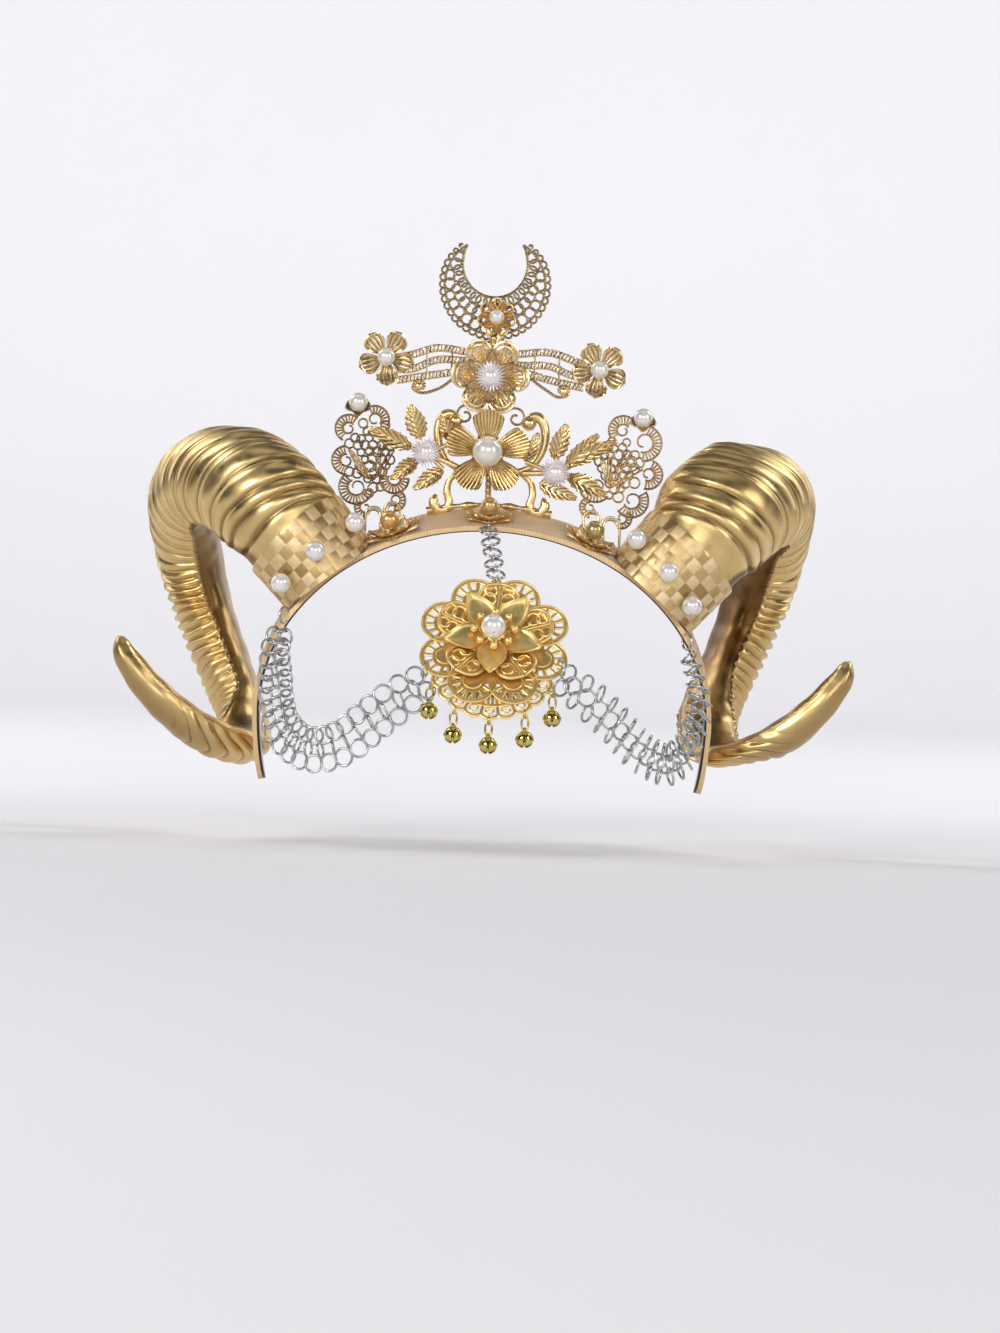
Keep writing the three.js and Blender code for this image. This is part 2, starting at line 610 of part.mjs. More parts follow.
// The left lace plate about its own centre
function lacePlate() {
  const [columns, rows] = [LACE_LOBES.length, 2];
  const lobe = (i) => {
    const turns = Math.floor(i / columns);
    const [direction, reach] = LACE_LOBES[i - turns * columns];
    return [direction + 360 * turns, reach];
  };
  const valley = (i) => {
    const [before, after] = [lobe(i - 1), lobe(i)];
    return [(before[0] + after[0]) / 2, (LACE_VALLEY * (before[1] + after[1])) / 2];
  };
  // Direction and reach of the edge: a valley at each whole step, a lobe halfway to the next
  const edge = (along) => {
    const cell = Math.floor(along);
    const share = along - cell;
    const fromLobe = 2 * Math.abs(share - 0.5);
    const low = valley(share < 0.5 ? cell : cell + 1);
    return lobe(cell).map((value, k) => THREE.MathUtils.lerp(value, low[k], fromLobe));
  };
  return pierced({
    columns,
    rows,
    web: 0.18,
    ring: true,
    place: (along, across, side) => {
      const [direction, reach] = edge(along);
      const radius = THREE.MathUtils.lerp(LACE_EYE, reach, across / rows);
      const angle = direction * DEGREE;
      return new THREE.Vector3(radius * Math.cos(angle), radius * Math.sin(angle), side * PLATE);
    },
  });
}

function lace(side) {
  const [x, z] = LACE_CENTRES[side];
  const plate = side === 'left' ? lacePlate() : mirrored(lacePlate());
  const footX = x + (side === 'left' ? 1 : -1) * LACE_FOOT.inward;
  const footBottom = seatOnBand(footX, REAR_PLATE_Y + PLATE).point.z + 2 * GAP + LACE_FOOT.width / 4;
  const footTop = z + LACE_FOOT.top;
  const foot = new THREE.BoxGeometry(LACE_FOOT.width, footTop - footBottom, PLATE)
    .translate(footX - x, (footTop + footBottom) / 2 - z, PLATE / 2);
  return upright(join([plate, foot]), x, REAR_PLATE_Y + PLATE, z);
}

function burstBead() {
  const outline = BURST_PROFILE.map(([radius, height]) => new THREE.Vector2(radius, height));
  return new THREE.LatheGeometry(outline, 12).rotateX(90 * DEGREE);
}

// Pendant, drawn in its own plane: x across, y up the plane, z out

function polar(radius, angle) {
  return new THREE.Vector2(radius * Math.cos(angle), radius * Math.sin(angle));
}

function pendantBackplate() {
  const pointsPerLobe = 4;
  const outline = [];
  for (let i = 0; i < pointsPerLobe * PENDANT_LOBES; i += 1) {
    const angle = (2 * Math.PI * i) / (pointsPerLobe * PENDANT_LOBES);
    const swell = Math.sqrt(Math.abs(Math.sin((angle * PENDANT_LOBES) / 2)));
    outline.push(polar(PENDANT_RADIUS * THREE.MathUtils.lerp(PENDANT_NOTCH, 1, swell), angle));
  }
  const plate = new THREE.Shape(outline);
  plate.holes.push(new THREE.Path().absarc(0, 0, PENDANT_EYE, 0, 2 * Math.PI, true));
  for (let i = 0; i < PENDANT_LOBES; i += 1) {
    const middle = (2 * Math.PI * (i + 0.5)) / PENDANT_LOBES;
    const fan = PENDANT_FAN.map(([radius, turn]) => polar(radius, middle + turn * DEGREE));
    plate.holes.push(new THREE.Path(fan));
  }
  const loop = new THREE.TorusGeometry(PENDANT_LOOP.radius, PENDANT_LOOP.wire, 5, 10)
    .translate(0, PENDANT_LOOP_V, PENDANT_PLATE / 2);
  const options = { depth: PENDANT_PLATE, bevelEnabled: false, curveSegments: 12 };
  const sheetMetal = new THREE.ExtrudeGeometry(plate, options);
  return join([sheetMetal, loop]);
}

function pendantPetals() {
  const { boss, bossHeight, outer, inner, innerLift } = PENDANT_FLOWER;
  return join([flower(outer), flower(inner).translate(0, 0, innerLift), disc(boss, bossHeight)]);
}

// The skirt by cells along its curve and share of the way out
function skirtEdge(along, across) {
  const angle = THREE.MathUtils.lerp(SKIRT.start, SKIRT.end, along / SKIRT.cells) * DEGREE;
  const scallop = along % 1 === 0 ? 0 : SKIRT.scallop;
  const radius = THREE.MathUtils.lerp(SKIRT.inner, SKIRT.outer + scallop, across);
  return new THREE.Vector3(radius * Math.cos(angle), radius * Math.sin(angle) - SKIRT.drop, 0);
}

function pendantSkirt() {
  const { cells, rows } = SKIRT;
  return pierced({
    columns: cells,
    rows,
    web: 0.18,
    place: (along, across, side) => skirtEdge(along, across / rows).setZ((side - 1) * PENDANT_PLATE - GAP),
  });
}

// A bell below its hanging point, with its loop
function bell() {
  const drop = 2 * BELL_LOOP.radius + BELL_LOOP.wire + BELL_RADIUS;
  const loop = new THREE.TorusGeometry(BELL_LOOP.radius, BELL_LOOP.wire, 5, 10).rotateX(90 * DEGREE)
    .translate(0, 0, -BELL_LOOP.radius - BELL_LOOP.wire);
  const body = ball(BELL_RADIUS).rotateX(90 * DEGREE).translate(0, 0, -drop);
  return join([loop, body]);
}

// Chain and drapes

function centreChain(start, end) {
  const direction = end.clone().sub(start);
  const { wire, count } = LINK;
  const radius = (direction.length() - GAP - wire + 1.5 * wire * (count - 1)) / (2 * count);
  direction.normalize();
  const links = [];
  for (let i = 0; i < count; i += 1) {
    const centre = end.clone().addScaledVector(direction, -radius - i * (2 * radius - 1.5 * wire));
    const facing = new THREE.Vector3(0, -1, 1).normalize();
    facing.addScaledVector(direction, -facing.dot(direction)).normalize();
    facing.applyAxisAngle(direction, (i % 2 ? -1 : 1) * CHAIN_TILT * DEGREE);
    const basis = new THREE.Matrix4().makeBasis(direction, facing.clone().cross(direction), facing);
    links.push(new THREE.TorusGeometry(radius, wire, 5, 10).applyMatrix4(basis.setPosition(centre)));
  }
  return join(links);
}

function drape(points) {
  const path = new THREE.CatmullRomCurve3(points.map((point) => new THREE.Vector3(...point)));
  const { columns, rows, width, thickness, notch } = DRAPE;
  const { pendantShare, bandShare, slope } = DRAPE_TAPER;
  return pierced({
    columns,
    rows,
    web: 0.15,
    place: (along, across, side) => {
      const share = along / columns;
      const point = path.getPointAt(share);
      const tangent = path.getTangentAt(share);
      const outward = new THREE.Vector3(point.x - HEAD_AXIS[0], point.y - HEAD_AXIS[1], 0);
      outward.addScaledVector(tangent, -outward.dot(tangent)).normalize();
      const sideways = outward.clone().cross(tangent);
      const full = Math.min(1, pendantShare + slope * share, bandShare + slope * (1 - share));
      const scallop = along % 1 === 0 ? notch : 1;
      const offset = (across / rows - 0.5) * width * full * scallop;
      return point.addScaledVector(sideways, offset).addScaledVector(outward, (side - 0.5) * thickness);
    },
  });
}

// Finishes

function finish(color, roughness, metalness) {
  return new THREE.MeshStandardMaterial({ color, roughness, metalness });
}

const FINISHES = {
  blackPlastic: finish('#141210', 0.3, 0),
  goldCloth: finish('#c99a5a', 0.7, 0.1),
  hornGold: finish('#a87f38', 0.38, 0.75),
  cuffFoil: finish('#b08a45', 0.45, 0.7),
  pearl: finish('#f3efe6', 0.2, 0),
  paleGold: finish('#c8a868', 0.35, 0.9),
  castGold: finish('#b99045', 0.4, 0.9),
  brightGold: finish('#d9a21f', 0.25, 1),
  bellBrass: finish('#b0952c', 0.25, 1),
  goldBead: finish('#b5802f', 0.3, 0.8),
  steel: finish('#a9a9ac', 0.25, 1),
};

// Assembly

const headdress = new THREE.Group();

function add(name, geometry, material, parent = headdress) {
  const mesh = new THREE.Mesh(geometry, FINISHES[material]);
  mesh.name = name;
  parent.add(mesh);
  return mesh;
}

add('headband_core', bandCore, 'blackPlastic');
add('headband_cover', bandCover, 'goldCloth');

const leftHorn = cut(hornBody(), saddle);
const leftCuff = cuffWall();
['left', 'right'].forEach((side) => {
  const handed = (geometry) => (side === 'left' ? geometry : mirrored(geometry));
  add(`horn_${side}`, handed(leftHorn), 'hornGold');
  add(`cuff_${side}`, handed(leftCuff), 'cuffFoil');
  CUFF_PEARL_ANGLES.forEach((angle, i) => {
    const pearl = add(`cuff_pearl_${side}_${i + 1}`, ball(CUFF_PEARL_RADIUS), 'pearl');
    pearl.position.copy(cuffPearlCentre(angle));
    if (side === 'right') pearl.position.x *= -1;
  });
});

add('scroll_frame', scrollFrame(), 'castGold');
add('crescent', crescentPlate(), 'paleGold');
add('wing_bar', wingBar(), 'paleGold');

Object.entries(FLOWERS).forEach(([name, form]) => {
  const { x, z, hub, foot = 0 } = form;
  const onRods = name === 'rosette' || name === 'main_flower';
  const seat = onRods ? FRONT_SEAT_Y : REAR_PLATE_Y - GAP;
  const petals = flower(form).translate(0, 0, foot);
  const whole = foot ? join([disc(hub, foot + PETAL_THICKNESS / 2), petals]) : petals;
  add(name, upright(whole, x, seat, z), name === 'main_flower' ? 'castGold' : 'paleGold');
  const front = seat - foot - PETAL_THICKNESS - GAP;
  const pearlName = name === 'rosette' ? 'rosette_pearl' : name.replace('flower', 'pearl');
  if (name === 'rosette') {
    add(pearlName, upright(burstBead(), x, front, z), 'pearl');
  } else {
    const radius = FLOWER_PEARLS[name.split('_')[0]];
    add(pearlName, ball(radius), 'pearl').position.set(x, front - radius, z);
  }
});

['left', 'right'].forEach((side) => {
  const spray = SPRAYS[side];
  add(`leaf_spray_${side}`, leafSpray(spray), 'castGold');
  const bead = upright(burstBead(), spray.hub[0], FRONT_SEAT_Y - 2 * SPRAY_ROD - GAP, spray.hub[1]);
  add(`spray_pearl_${side}`, bead, 'pearl');
  add(`lace_${side}`, lace(side), 'paleGold');
  const [x, z] = LACE_PEARLS[side];
  add(`lace_pearl_${side}`, ball(LACE_PEARL_RADIUS), 'pearl')
    .position.set(x, REAR_PLATE_Y - GAP - LACE_PEARL_RADIUS, z);
});

Object.entries(BASE_FLOWERS).forEach(([side, [x, y, reach, beadRadius]]) => {
  const { point, out } = seatOnBand(x, y);
  const turn = new THREE.Quaternion().setFromUnitVectors(new THREE.Vector3(0, 0, 1), out);
  const blossom = add(`base_flower_${side}`, flower({ ...BASE_PETALS, reach }), 'paleGold');
  blossom.position.copy(point).addScaledVector(out, GAP);
  blossom.quaternion.copy(turn);
  const bead = add(`base_bead_${side}`, ball(beadRadius), 'goldBead');
  bead.position.copy(point).addScaledVector(out, 2 * GAP + PETAL_THICKNESS + beadRadius);
});

const pendant = new THREE.Group();
pendant.position.set(...PENDANT_CENTRE);
pendant.rotation.x = (90 - PENDANT_LEAN) * DEGREE;
headdress.add(pendant);
const petalSeat = PENDANT_PLATE + GAP;
add('pendant_backplate', pendantBackplate(), 'brightGold', pendant);
add('pendant_petals', pendantPetals(), 'brightGold', pendant).position.set(0, PENDANT_FLOWER_V, petalSeat);
add('pendant_pearl', ball(PENDANT_PEARL_RADIUS), 'pearl', pendant)
  .position.set(0, PENDANT_FLOWER_V, petalSeat + PENDANT_FLOWER.bossHeight + GAP + PENDANT_PEARL_RADIUS);
add('pendant_skirt', pendantSkirt(), 'brightGold', pendant);
headdress.updateMatrixWorld(true);
for (let i = 0; i < SKIRT.cells; i += 1) {
  const hook = pendant.localToWorld(skirtEdge(i + 0.5, 1).setZ(-GAP - PENDANT_PLATE / 2));
  add(`bell_${i + 1}`, bell(), 'bellBrass').position.copy(hook).add(new THREE.Vector3(0, 0, -2 * GAP));
}

const bandFront = bandPoint(bandFrame(0), -BAND_WIDTH / 2, COVER_OUTSIDE);
const pendantLoop = pendant.localToWorld(new THREE.Vector3(0, PENDANT_LOOP_V, PENDANT_PLATE / 2));
add('centre_chain', centreChain(bandFront, pendantLoop), 'steel');
add('drape_left', drape(DRAPE_LEFT_PATH), 'steel');
add('drape_right', drape(DRAPE_RIGHT_PATH), 'steel');

export default headdress;
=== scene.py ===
import math

import bmesh
import bpy
import numpy as np
from mathutils import Matrix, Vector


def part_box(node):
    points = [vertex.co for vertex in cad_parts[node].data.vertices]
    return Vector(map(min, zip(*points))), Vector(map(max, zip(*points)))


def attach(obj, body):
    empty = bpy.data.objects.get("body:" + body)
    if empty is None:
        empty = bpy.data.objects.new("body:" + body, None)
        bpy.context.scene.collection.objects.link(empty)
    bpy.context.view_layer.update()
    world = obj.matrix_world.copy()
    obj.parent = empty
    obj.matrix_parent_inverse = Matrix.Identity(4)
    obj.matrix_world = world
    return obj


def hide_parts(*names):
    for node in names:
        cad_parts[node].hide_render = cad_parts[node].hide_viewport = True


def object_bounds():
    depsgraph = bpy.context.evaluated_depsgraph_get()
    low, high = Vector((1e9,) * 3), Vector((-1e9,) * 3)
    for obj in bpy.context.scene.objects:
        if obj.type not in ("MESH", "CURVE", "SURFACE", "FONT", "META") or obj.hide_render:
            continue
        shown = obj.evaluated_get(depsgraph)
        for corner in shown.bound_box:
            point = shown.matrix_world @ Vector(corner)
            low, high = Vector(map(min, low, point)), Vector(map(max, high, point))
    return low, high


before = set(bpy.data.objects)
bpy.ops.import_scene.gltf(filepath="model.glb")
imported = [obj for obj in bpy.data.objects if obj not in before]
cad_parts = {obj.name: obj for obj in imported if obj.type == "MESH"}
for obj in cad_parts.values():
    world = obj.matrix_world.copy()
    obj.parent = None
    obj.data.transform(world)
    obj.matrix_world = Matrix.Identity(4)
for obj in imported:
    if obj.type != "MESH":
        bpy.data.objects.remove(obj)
cad_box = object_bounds()

# Headband core
# The real piece is a springy arch of black moulded plastic with a polished face and rounded edges.
# It carries everything else and shows as a black line with a gleam under the edge of the cloth.

MM = 0.001  # shapes are drawn in millimetres and turned into metres when a piece is made
BAND_HALF_SPAN = 88.5
BAND_RISE = 76.0
BAND_ARM_CURVE = 110.0
BAND_END_SWEEP = 105.0  # degrees from the top to each end
BAND_TAPER_SWEEP = 50.0
BAND_END_ROUND = 4.0  # degrees over which each end is rounded off
BAND_WIDTH = 25.0
BAND_END_WIDTH = 12.0
BAND_LEAN = 20.0
BAND_STEPS = 160
CORE_THICKNESS = 1.6
CORE_TRIM = 0.7  # how much narrower than the cloth the core is on each side


def unit(vectors):
    """The vectors at length one."""
    vectors = np.asarray(vectors, float)
    return vectors / np.linalg.norm(vectors, axis=-1, keepdims=True)


def smooth_step(value, low, high):
    """0 below low, 1 above high and an eased ramp between them."""
    share = np.clip((value - low) / (high - low), 0.0, 1.0)
    return share * share * (3.0 - 2.0 * share)


def signed_power(value, power):
    """The size of the value raised to a power, with its sign kept."""
    return np.sign(value) * np.abs(value) ** power


def grid_faces(rows, columns, wrap_rows=False, wrap_columns=False):
    """Quads over a grid of points stored row by row."""
    i, j = np.meshgrid(
        np.arange(rows if wrap_rows else rows - 1),
        np.arange(columns if wrap_columns else columns - 1),
        indexing="ij",
    )
    next_i, next_j = (i + 1) % rows, (j + 1) % columns
    corners = [i * columns + j, next_i * columns + j, next_i * columns + next_j, i * columns + next_j]
    return np.stack(corners, -1).reshape(-1, 4)


def skin(rings, recess=0.0, closed=False):
    """A shape through rings of points, capped at both ends unless the rings close on themselves.
    A shape is its points, its faces and how dark each point is coloured, from 0 to 1, for patina and painted
    shade."""
    rings = np.asarray(rings, float)
    count, sides = rings.shape[:2]
    points = rings.reshape(-1, 3)
    depth = np.broadcast_to(recess, (count, sides)).reshape(-1)
    faces = [grid_faces(count, sides, wrap_rows=closed, wrap_columns=True)]
    if not closed:
        first, last = len(points), len(points) + 1
        around = np.arange(sides)
        following = (around + 1) % sides
        base = (count - 1) * sides
        faces.append(np.stack([np.full(sides, first), around, following], -1))
        faces.append(np.stack([np.full(sides, last), base + following, base + around], -1))
        points = np.vstack([points, rings[0].mean(0), rings[-1].mean(0)])
        depth = np.append(depth, [depth[0], depth[-1]])
    return points, faces, depth


def new_finish(name, constants):
    """A node material, with the numbers and colours that are the same all over set on its shader."""
    finish = bpy.data.materials.new(name)
    finish.use_nodes = True
    shader = finish.node_tree.nodes["Principled BSDF"]
    for socket, value in constants.items():
        shader.inputs[socket].default_value = value
    return finish, finish.node_tree, shader


def add_node(tree, kind, output, inputs, **settings):
    """An output of a new node of the tree, whose inputs are linked or set."""
    made = tree.nodes.new("ShaderNode" + kind)
    for setting, value in settings.items():
        setattr(made, setting, value)
    for socket, value in inputs.items():
        if isinstance(value, bpy.types.NodeSocket):
            tree.links.new(value, made.inputs[socket])
        else:
            made.inputs[socket].default_value = value
    return made.outputs[output]


def noise(tree, scale, detail=3.0):
    """Soft random clouds over the object, with scale in clouds a metre."""
    place = add_node(tree, "TexCoord", "Object", {})
    return add_node(tree, "TexNoise", "Fac", {"Vector": place, "Scale": scale, "Detail": detail})


def blended(tree, share, first, second):
    """The first colour turning into the second as the share goes from 0 to 1."""
    return add_node(tree, "Mix", 2, {0: share, 6: first, 7: second}, data_type="RGBA")


def roughen(tree, shader, height, strength, distance):
    """Bump the shader's surface by a height, with distance in metres."""
    bump = add_node(tree, "Bump", "Normal", {"Height": height, "Strength": strength, "Distance": distance})
    tree.links.new(bump, shader.inputs["Normal"])


def cloudy_finish(name, first, second, scale, constants):
    """A finish whose colour drifts between two tones."""
    finish, tree, shader = new_finish(name, constants)
    tree.links.new(blended(tree, noise(tree, scale), first, second), shader.inputs["Base Color"])
    return finish, tree, shader


def make_piece(name, shapes, finish, node, sharp=50.0):
    """One object from shapes in millimetres, shaded smooth up to a sharp angle, in place of a CAD node."""
    points = np.concatenate([shape[0] for shape in shapes])
    recess = np.concatenate([shape[2] for shape in shapes])
    loops, sizes, start = [], [], 0
    for shape_points, shape_faces, _ in shapes:
        for faces in shape_faces:
            loops.append((faces + start).ravel())
            sizes.append(np.full(len(faces), faces.shape[1]))
        start += len(shape_points)
    loops, sizes = np.concatenate(loops), np.concatenate(sizes)
    mesh = bpy.data.meshes.new(name)
    mesh.vertices.add(len(points))
    mesh.vertices.foreach_set("co", (points * MM).astype(np.float32).ravel())
    mesh.loops.add(len(loops))
    mesh.loops.foreach_set("vertex_index", loops.astype(np.int32))
    mesh.polygons.add(len(sizes))
    mesh.polygons.foreach_set("loop_start", (np.cumsum(sizes) - sizes).astype(np.int32))
    mesh.update(calc_edges=True)
    mesh.validate()
    whole = bmesh.new()
    whole.from_mesh(mesh)
    bmesh.ops.recalc_face_normals(whole, faces=whole.faces)
    whole.to_mesh(mesh)
    whole.free()
    mesh.polygons.foreach_set("use_smooth", np.ones(len(mesh.polygons), bool))
    mesh.set_sharp_from_angle(angle=math.radians(sharp))
    mesh.attributes.new("recess", "FLOAT", "POINT")
    mesh.attributes["recess"].data.foreach_set("value", recess.astype(np.float32))
    mesh.materials.append(finish)
    piece = bpy.data.objects.new(name, mesh)
    bpy.context.scene.collection.objects.link(piece)
    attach(piece, "root")
    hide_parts(node)
    return piece


def band_frames(sweeps):
    """Points along the arch with the directions across the band, back, and out of it."""
    turn = np.radians(sweeps)
    rise = np.where(np.cos(turn) > 0, BAND_RISE, BAND_ARM_CURVE)
    flat = np.zeros_like(turn)
    spots = np.stack([BAND_HALF_SPAN * np.sin(turn), flat, rise * np.cos(turn) - BAND_RISE], -1)
    normal = unit(np.stack([np.sin(turn) * rise, flat, np.cos(turn) * BAND_HALF_SPAN], -1))
    lean = np.radians(BAND_LEAN) * np.maximum(0.0, np.cos(turn))[:, None]
    back = np.array([0.0, 1.0, 0.0])
    across = back * np.cos(lean) + normal * np.sin(lean)
    out = normal * np.cos(lean) - back * np.sin(lean)
    return spots, across, out


def band_strip(inside, outside, trim, wave, edge_drop=0.0):
    """A strip of the arch between two heights, with rounded edges that may drop, and rounded ends."""
    sweeps = np.linspace(-BAND_END_SWEEP, BAND_END_SWEEP, BAND_STEPS)
    spots, across, out = band_frames(sweeps)
    taper = smooth_step(np.abs(sweeps), BAND_TAPER_SWEEP, BAND_END_SWEEP)
    half = (BAND_WIDTH + (BAND_END_WIDTH - BAND_WIDTH) * taper) / 2 - trim
    end_share = (np.abs(sweeps) - BAND_END_SWEEP + BAND_END_ROUND) / BAND_END_ROUND
    half = half * np.sqrt(1.0 - np.clip(end_share, 0.0, 0.995) ** 2)
    middle, thick = (inside + outside) / 2, (outside - inside) / 2
    around = np.radians(np.arange(0, 360, 15))
    wide = signed_power(np.cos(around), 0.35)
    tall = signed_power(np.sin(around), 0.6)
    lift = middle + thick * tall[None] + wave(sweeps[:, None], wide[None]) * (tall[None] > 0.5)
    lift = lift - edge_drop * smooth_step(np.abs(wide), 0.93, 0.99)[None] * (tall[None] < 0.5)
    edge = half[:, None] * wide[None]
    return skin(spots[:, None] + across[:, None] * edge[..., None] + out[:, None] * lift[..., None])


core_gloss, core_tree, core_shader = cloudy_finish(
    "black_gloss_plastic",
    (0.006, 0.005, 0.005, 1),
    (0.022, 0.018, 0.016, 1),
    60.0,
    {"Roughness": 0.16, "Coat Weight": 0.4, "Coat Roughness": 0.08},
)
roughen(core_tree, core_shader, noise(core_tree, 900.0), 0.05, 0.0001)
core = band_strip(0.0, CORE_THICKNESS, CORE_TRIM, lambda sweep, side: 0.0)
make_piece("hairband_core", [core], core_gloss, "headband_core")

# Headband cloth
# The real piece is a strip of fine lustrous gold cloth glued over the arch.
# Its edges are turned under, so a low hem runs along both sides, and the glue leaves it a little uneven.

CLOTH_INSIDE = CORE_THICKNESS + 0.05
CLOTH_OUTSIDE = 3.1
HEM_HEIGHT = 0.35
EDGE_DROP = 0.9  # how far the edges wrap down over the sides of the core
GLUE_WAVE = 0.12
WEAVE_THREADS = 2600.0  # threads a metre


def ranged(tree, value, low, high, start=0.3, end=0.7):
    """A value between start and end spread from low to high."""
    inputs = {"Value": value, "From Min": start, "From Max": end, "To Min": low, "To Max": high}
    return add_node(tree, "MapRange", "Result", inputs)


def cloth_wave(sweep, side):
    """Height of the hem and of the uneven glue under the cloth."""
    hem = HEM_HEIGHT * smooth_step(np.abs(side), 0.72, 0.8)
    return hem + GLUE_WAVE * np.sin(sweep * 0.9) * np.cos(sweep * 0.37 + 3.0 * side)


band_cloth, cloth_tree, cloth_shader = new_finish(
    "gold_cloth", {"Metallic": 0.35, "Sheen Weight": 0.35, "Sheen Roughness": 0.4}
)
cloth_place = add_node(cloth_tree, "TexCoord", "Object", {})
threads = {"Vector": cloth_place, "Scale": WEAVE_THREADS / 10, "Distortion": 0.6, "Detail": 1.0}
warp = add_node(cloth_tree, "TexWave", "Fac", threads, bands_direction="X")
weft = add_node(cloth_tree, "TexWave", "Fac", threads, bands_direction="Y")
weave = add_node(cloth_tree, "Math", "Value", {0: warp, 1: weft}, operation="ADD")
cloth_body = blended(cloth_tree, noise(cloth_tree, 140.0), (0.64, 0.42, 0.20, 1), (0.88, 0.64, 0.36, 1))
cloth_shade = ranged(cloth_tree, weave, 0.2, 0.0, 0.2, 1.2)
cloth_colour = blended(cloth_tree, cloth_shade, cloth_body, (0.28, 0.15, 0.05, 1))
cloth_tree.links.new(cloth_colour, cloth_shader.inputs["Base Color"])
cloth_tree.links.new(ranged(cloth_tree, weave, 0.55, 0.38, 0.0, 2.0), cloth_shader.inputs["Roughness"])
roughen(cloth_tree, cloth_shader, weave, 0.15, 0.0002)
cover = band_strip(CLOTH_INSIDE, CLOTH_OUTSIDE - HEM_HEIGHT, 0.0, cloth_wave, EDGE_DROP)
make_piece("hairband_cloth", [cover], band_cloth, "headband_cover")

# Horns
# Each real horn is a light moulded shell with a D-shaped section, ridged on its round outside and
# smooth on the face inside its curl. It is sprayed antique gold. Its colour carries painted shade in
# the grooves, on the smooth face and under the tip, and a painted highlight along the crests.

HORN_STATIONS = np.array([
    # x, y, z, width, depth outside and inside the centre line, for the left horn from base to tip
    [-62, 0, -27.5, 40, 19, 18],
    [-80.5, 3, -7.5, 42, 22, 18],
    [-96.5, 9, 8, 44, 25, 18.5],
    [-110.5, 22, 14, 43, 22, 16.5],
    [-119, 40, 8, 38, 18.5, 11],
    [-120, 57, -11, 31.5, 14.5, 8],
    [-114, 63, -35, 27.5, 12.5, 6.5],
    [-104, 55, -60, 25, 11, 6],
    [-95.5, 38, -79.5, 23, 10, 5.5],
    [-97, 16, -90, 21, 9, 5.5],
    [-111, 1, -86.5, 18.5, 8, 6],
    [-128.5, -7, -74, 15, 7, 5.5],
    [-141.5, -10, -58.5, 10, 5, 4.5],
    [-145.5, -9, -50, 5, 2.4, 2.4],
])
HORN_POSES = {
    # how far the base and the back of the curl are moved, how many degrees the smooth face is turned
    # there, where along the horn half that turn is gone again, how much deeper the back is on the
    # inside, and how much thinner the lower bend and the upper bend are
    "left": dict(
        shift_x=3.6, shift_z=0.6, back_x=-3.6, face_turn=50.0, turn_back=212.0,
        face_depth=4.5, low_trim=0.0, bend_pinch=7.0,
    ),
    "right": dict(
        shift_x=-0.8, shift_z=-1.0, back_x=5.0, face_turn=41.0, turn_back=186.0,
        face_depth=4.5, low_trim=5.5, bend_pinch=11.5,
    ),
}
HORN_RIDGES = {
    # where along the horn the first ridge is, how far the ridges of the lower bend run along it, how far
    # the top bulges at the back, how many degrees round the back the first ridges end, and how much painted
    # shade the smooth face gets far off, near by, and under the bend
    "left": dict(first=26.0, fold=13.0, corner=1.0, plain_back=75.0, face_shade=(0.0, 0.5, 0.2)),
    "right": dict(first=30.0, fold=-11.0, corner=5.5, plain_back=12.0, face_shade=(0.5, 0.4, 0.75)),
}
CURL_CENTRE = np.array([-88.0, 20.0, -40.0])
HORN_SIDES = 96
HORN_RINGS = 640
RAIL_STEPS = 1600
BASE_FADE = (30.0, 130.0)  # these are distances along the horn, from where to where a change comes in
CURL_BACK = (50.0, 100.0, 175.0, 235.0)  # with four, the last two are where it goes out again
DEEP_BACK = (90.0, 125.0, 175.0, 235.0)
LOW_BEND = (200.0, 220.0, 235.0, 262.0)
TOP_BULGE = (24.0, 42.0, 56.0, 72.0)
TUCK_RUN = (30.0, 48.0)
TURN_RUN = (58.0, 100.0)
PIPED_RUN = (36.0, 56.0)
SCALLOPED_RUN = (105.0, 140.0)
RIDGE_FADE = (240.0, 268.0)
UPPER_BEND = (77.0, 17.0)  # its middle and half its length
TURN_EASE = 22.0
SCRIBED_RUN = 45.0  # the rings near the base bend over this distance to follow the band
RIDGE_PITCHES = np.array([
    # distance along the horn and how far apart the ridges are there
    [35, 6.4], [60, 6.9], [98, 6.7], [130, 4.9], [195, 4.9], [215, 7.2],
])
RIDGE_TILT = 8.0  # how much further along the ridges lie at the front than at the back
RIDGE_HEIGHT = 2.6
LIP_HEIGHT = 0.8
DENT_DEPTH = 0.25
FACE_TUCK = 20.0  # degrees that the smooth face is turned out of sight above the bend
INNER_FACE = 104.0  # degrees round from the outside to where the smooth face begins
PAINTED_BODY_SHADE = 0.2  # painted shade over the whole horn, left off the crests as a painted highlight
CUFF_TOP = 27.0


def window(value, rise_from, rise_to, fall_from, fall_to):
    """1 between an eased rise and an eased fall, and 0 outside them."""
    return smooth_step(value, rise_from, rise_to) * (1.0 - smooth_step(value, fall_from, fall_to))


def hump(value, middle, spread):
    """A bell curve of height 1."""
    return np.exp(-(((value - middle) / spread) ** 2))


def run_length(line):
    """The distance along a line of points, at each of them."""
    return np.append(0.0, np.cumsum(np.linalg.norm(np.diff(line, axis=0), axis=1)))


def sampled(at, along, values):
    """Rows of three values read at distances along a line."""
    return np.stack([np.interp(at, along, values[:, k]) for k in range(3)], -1)


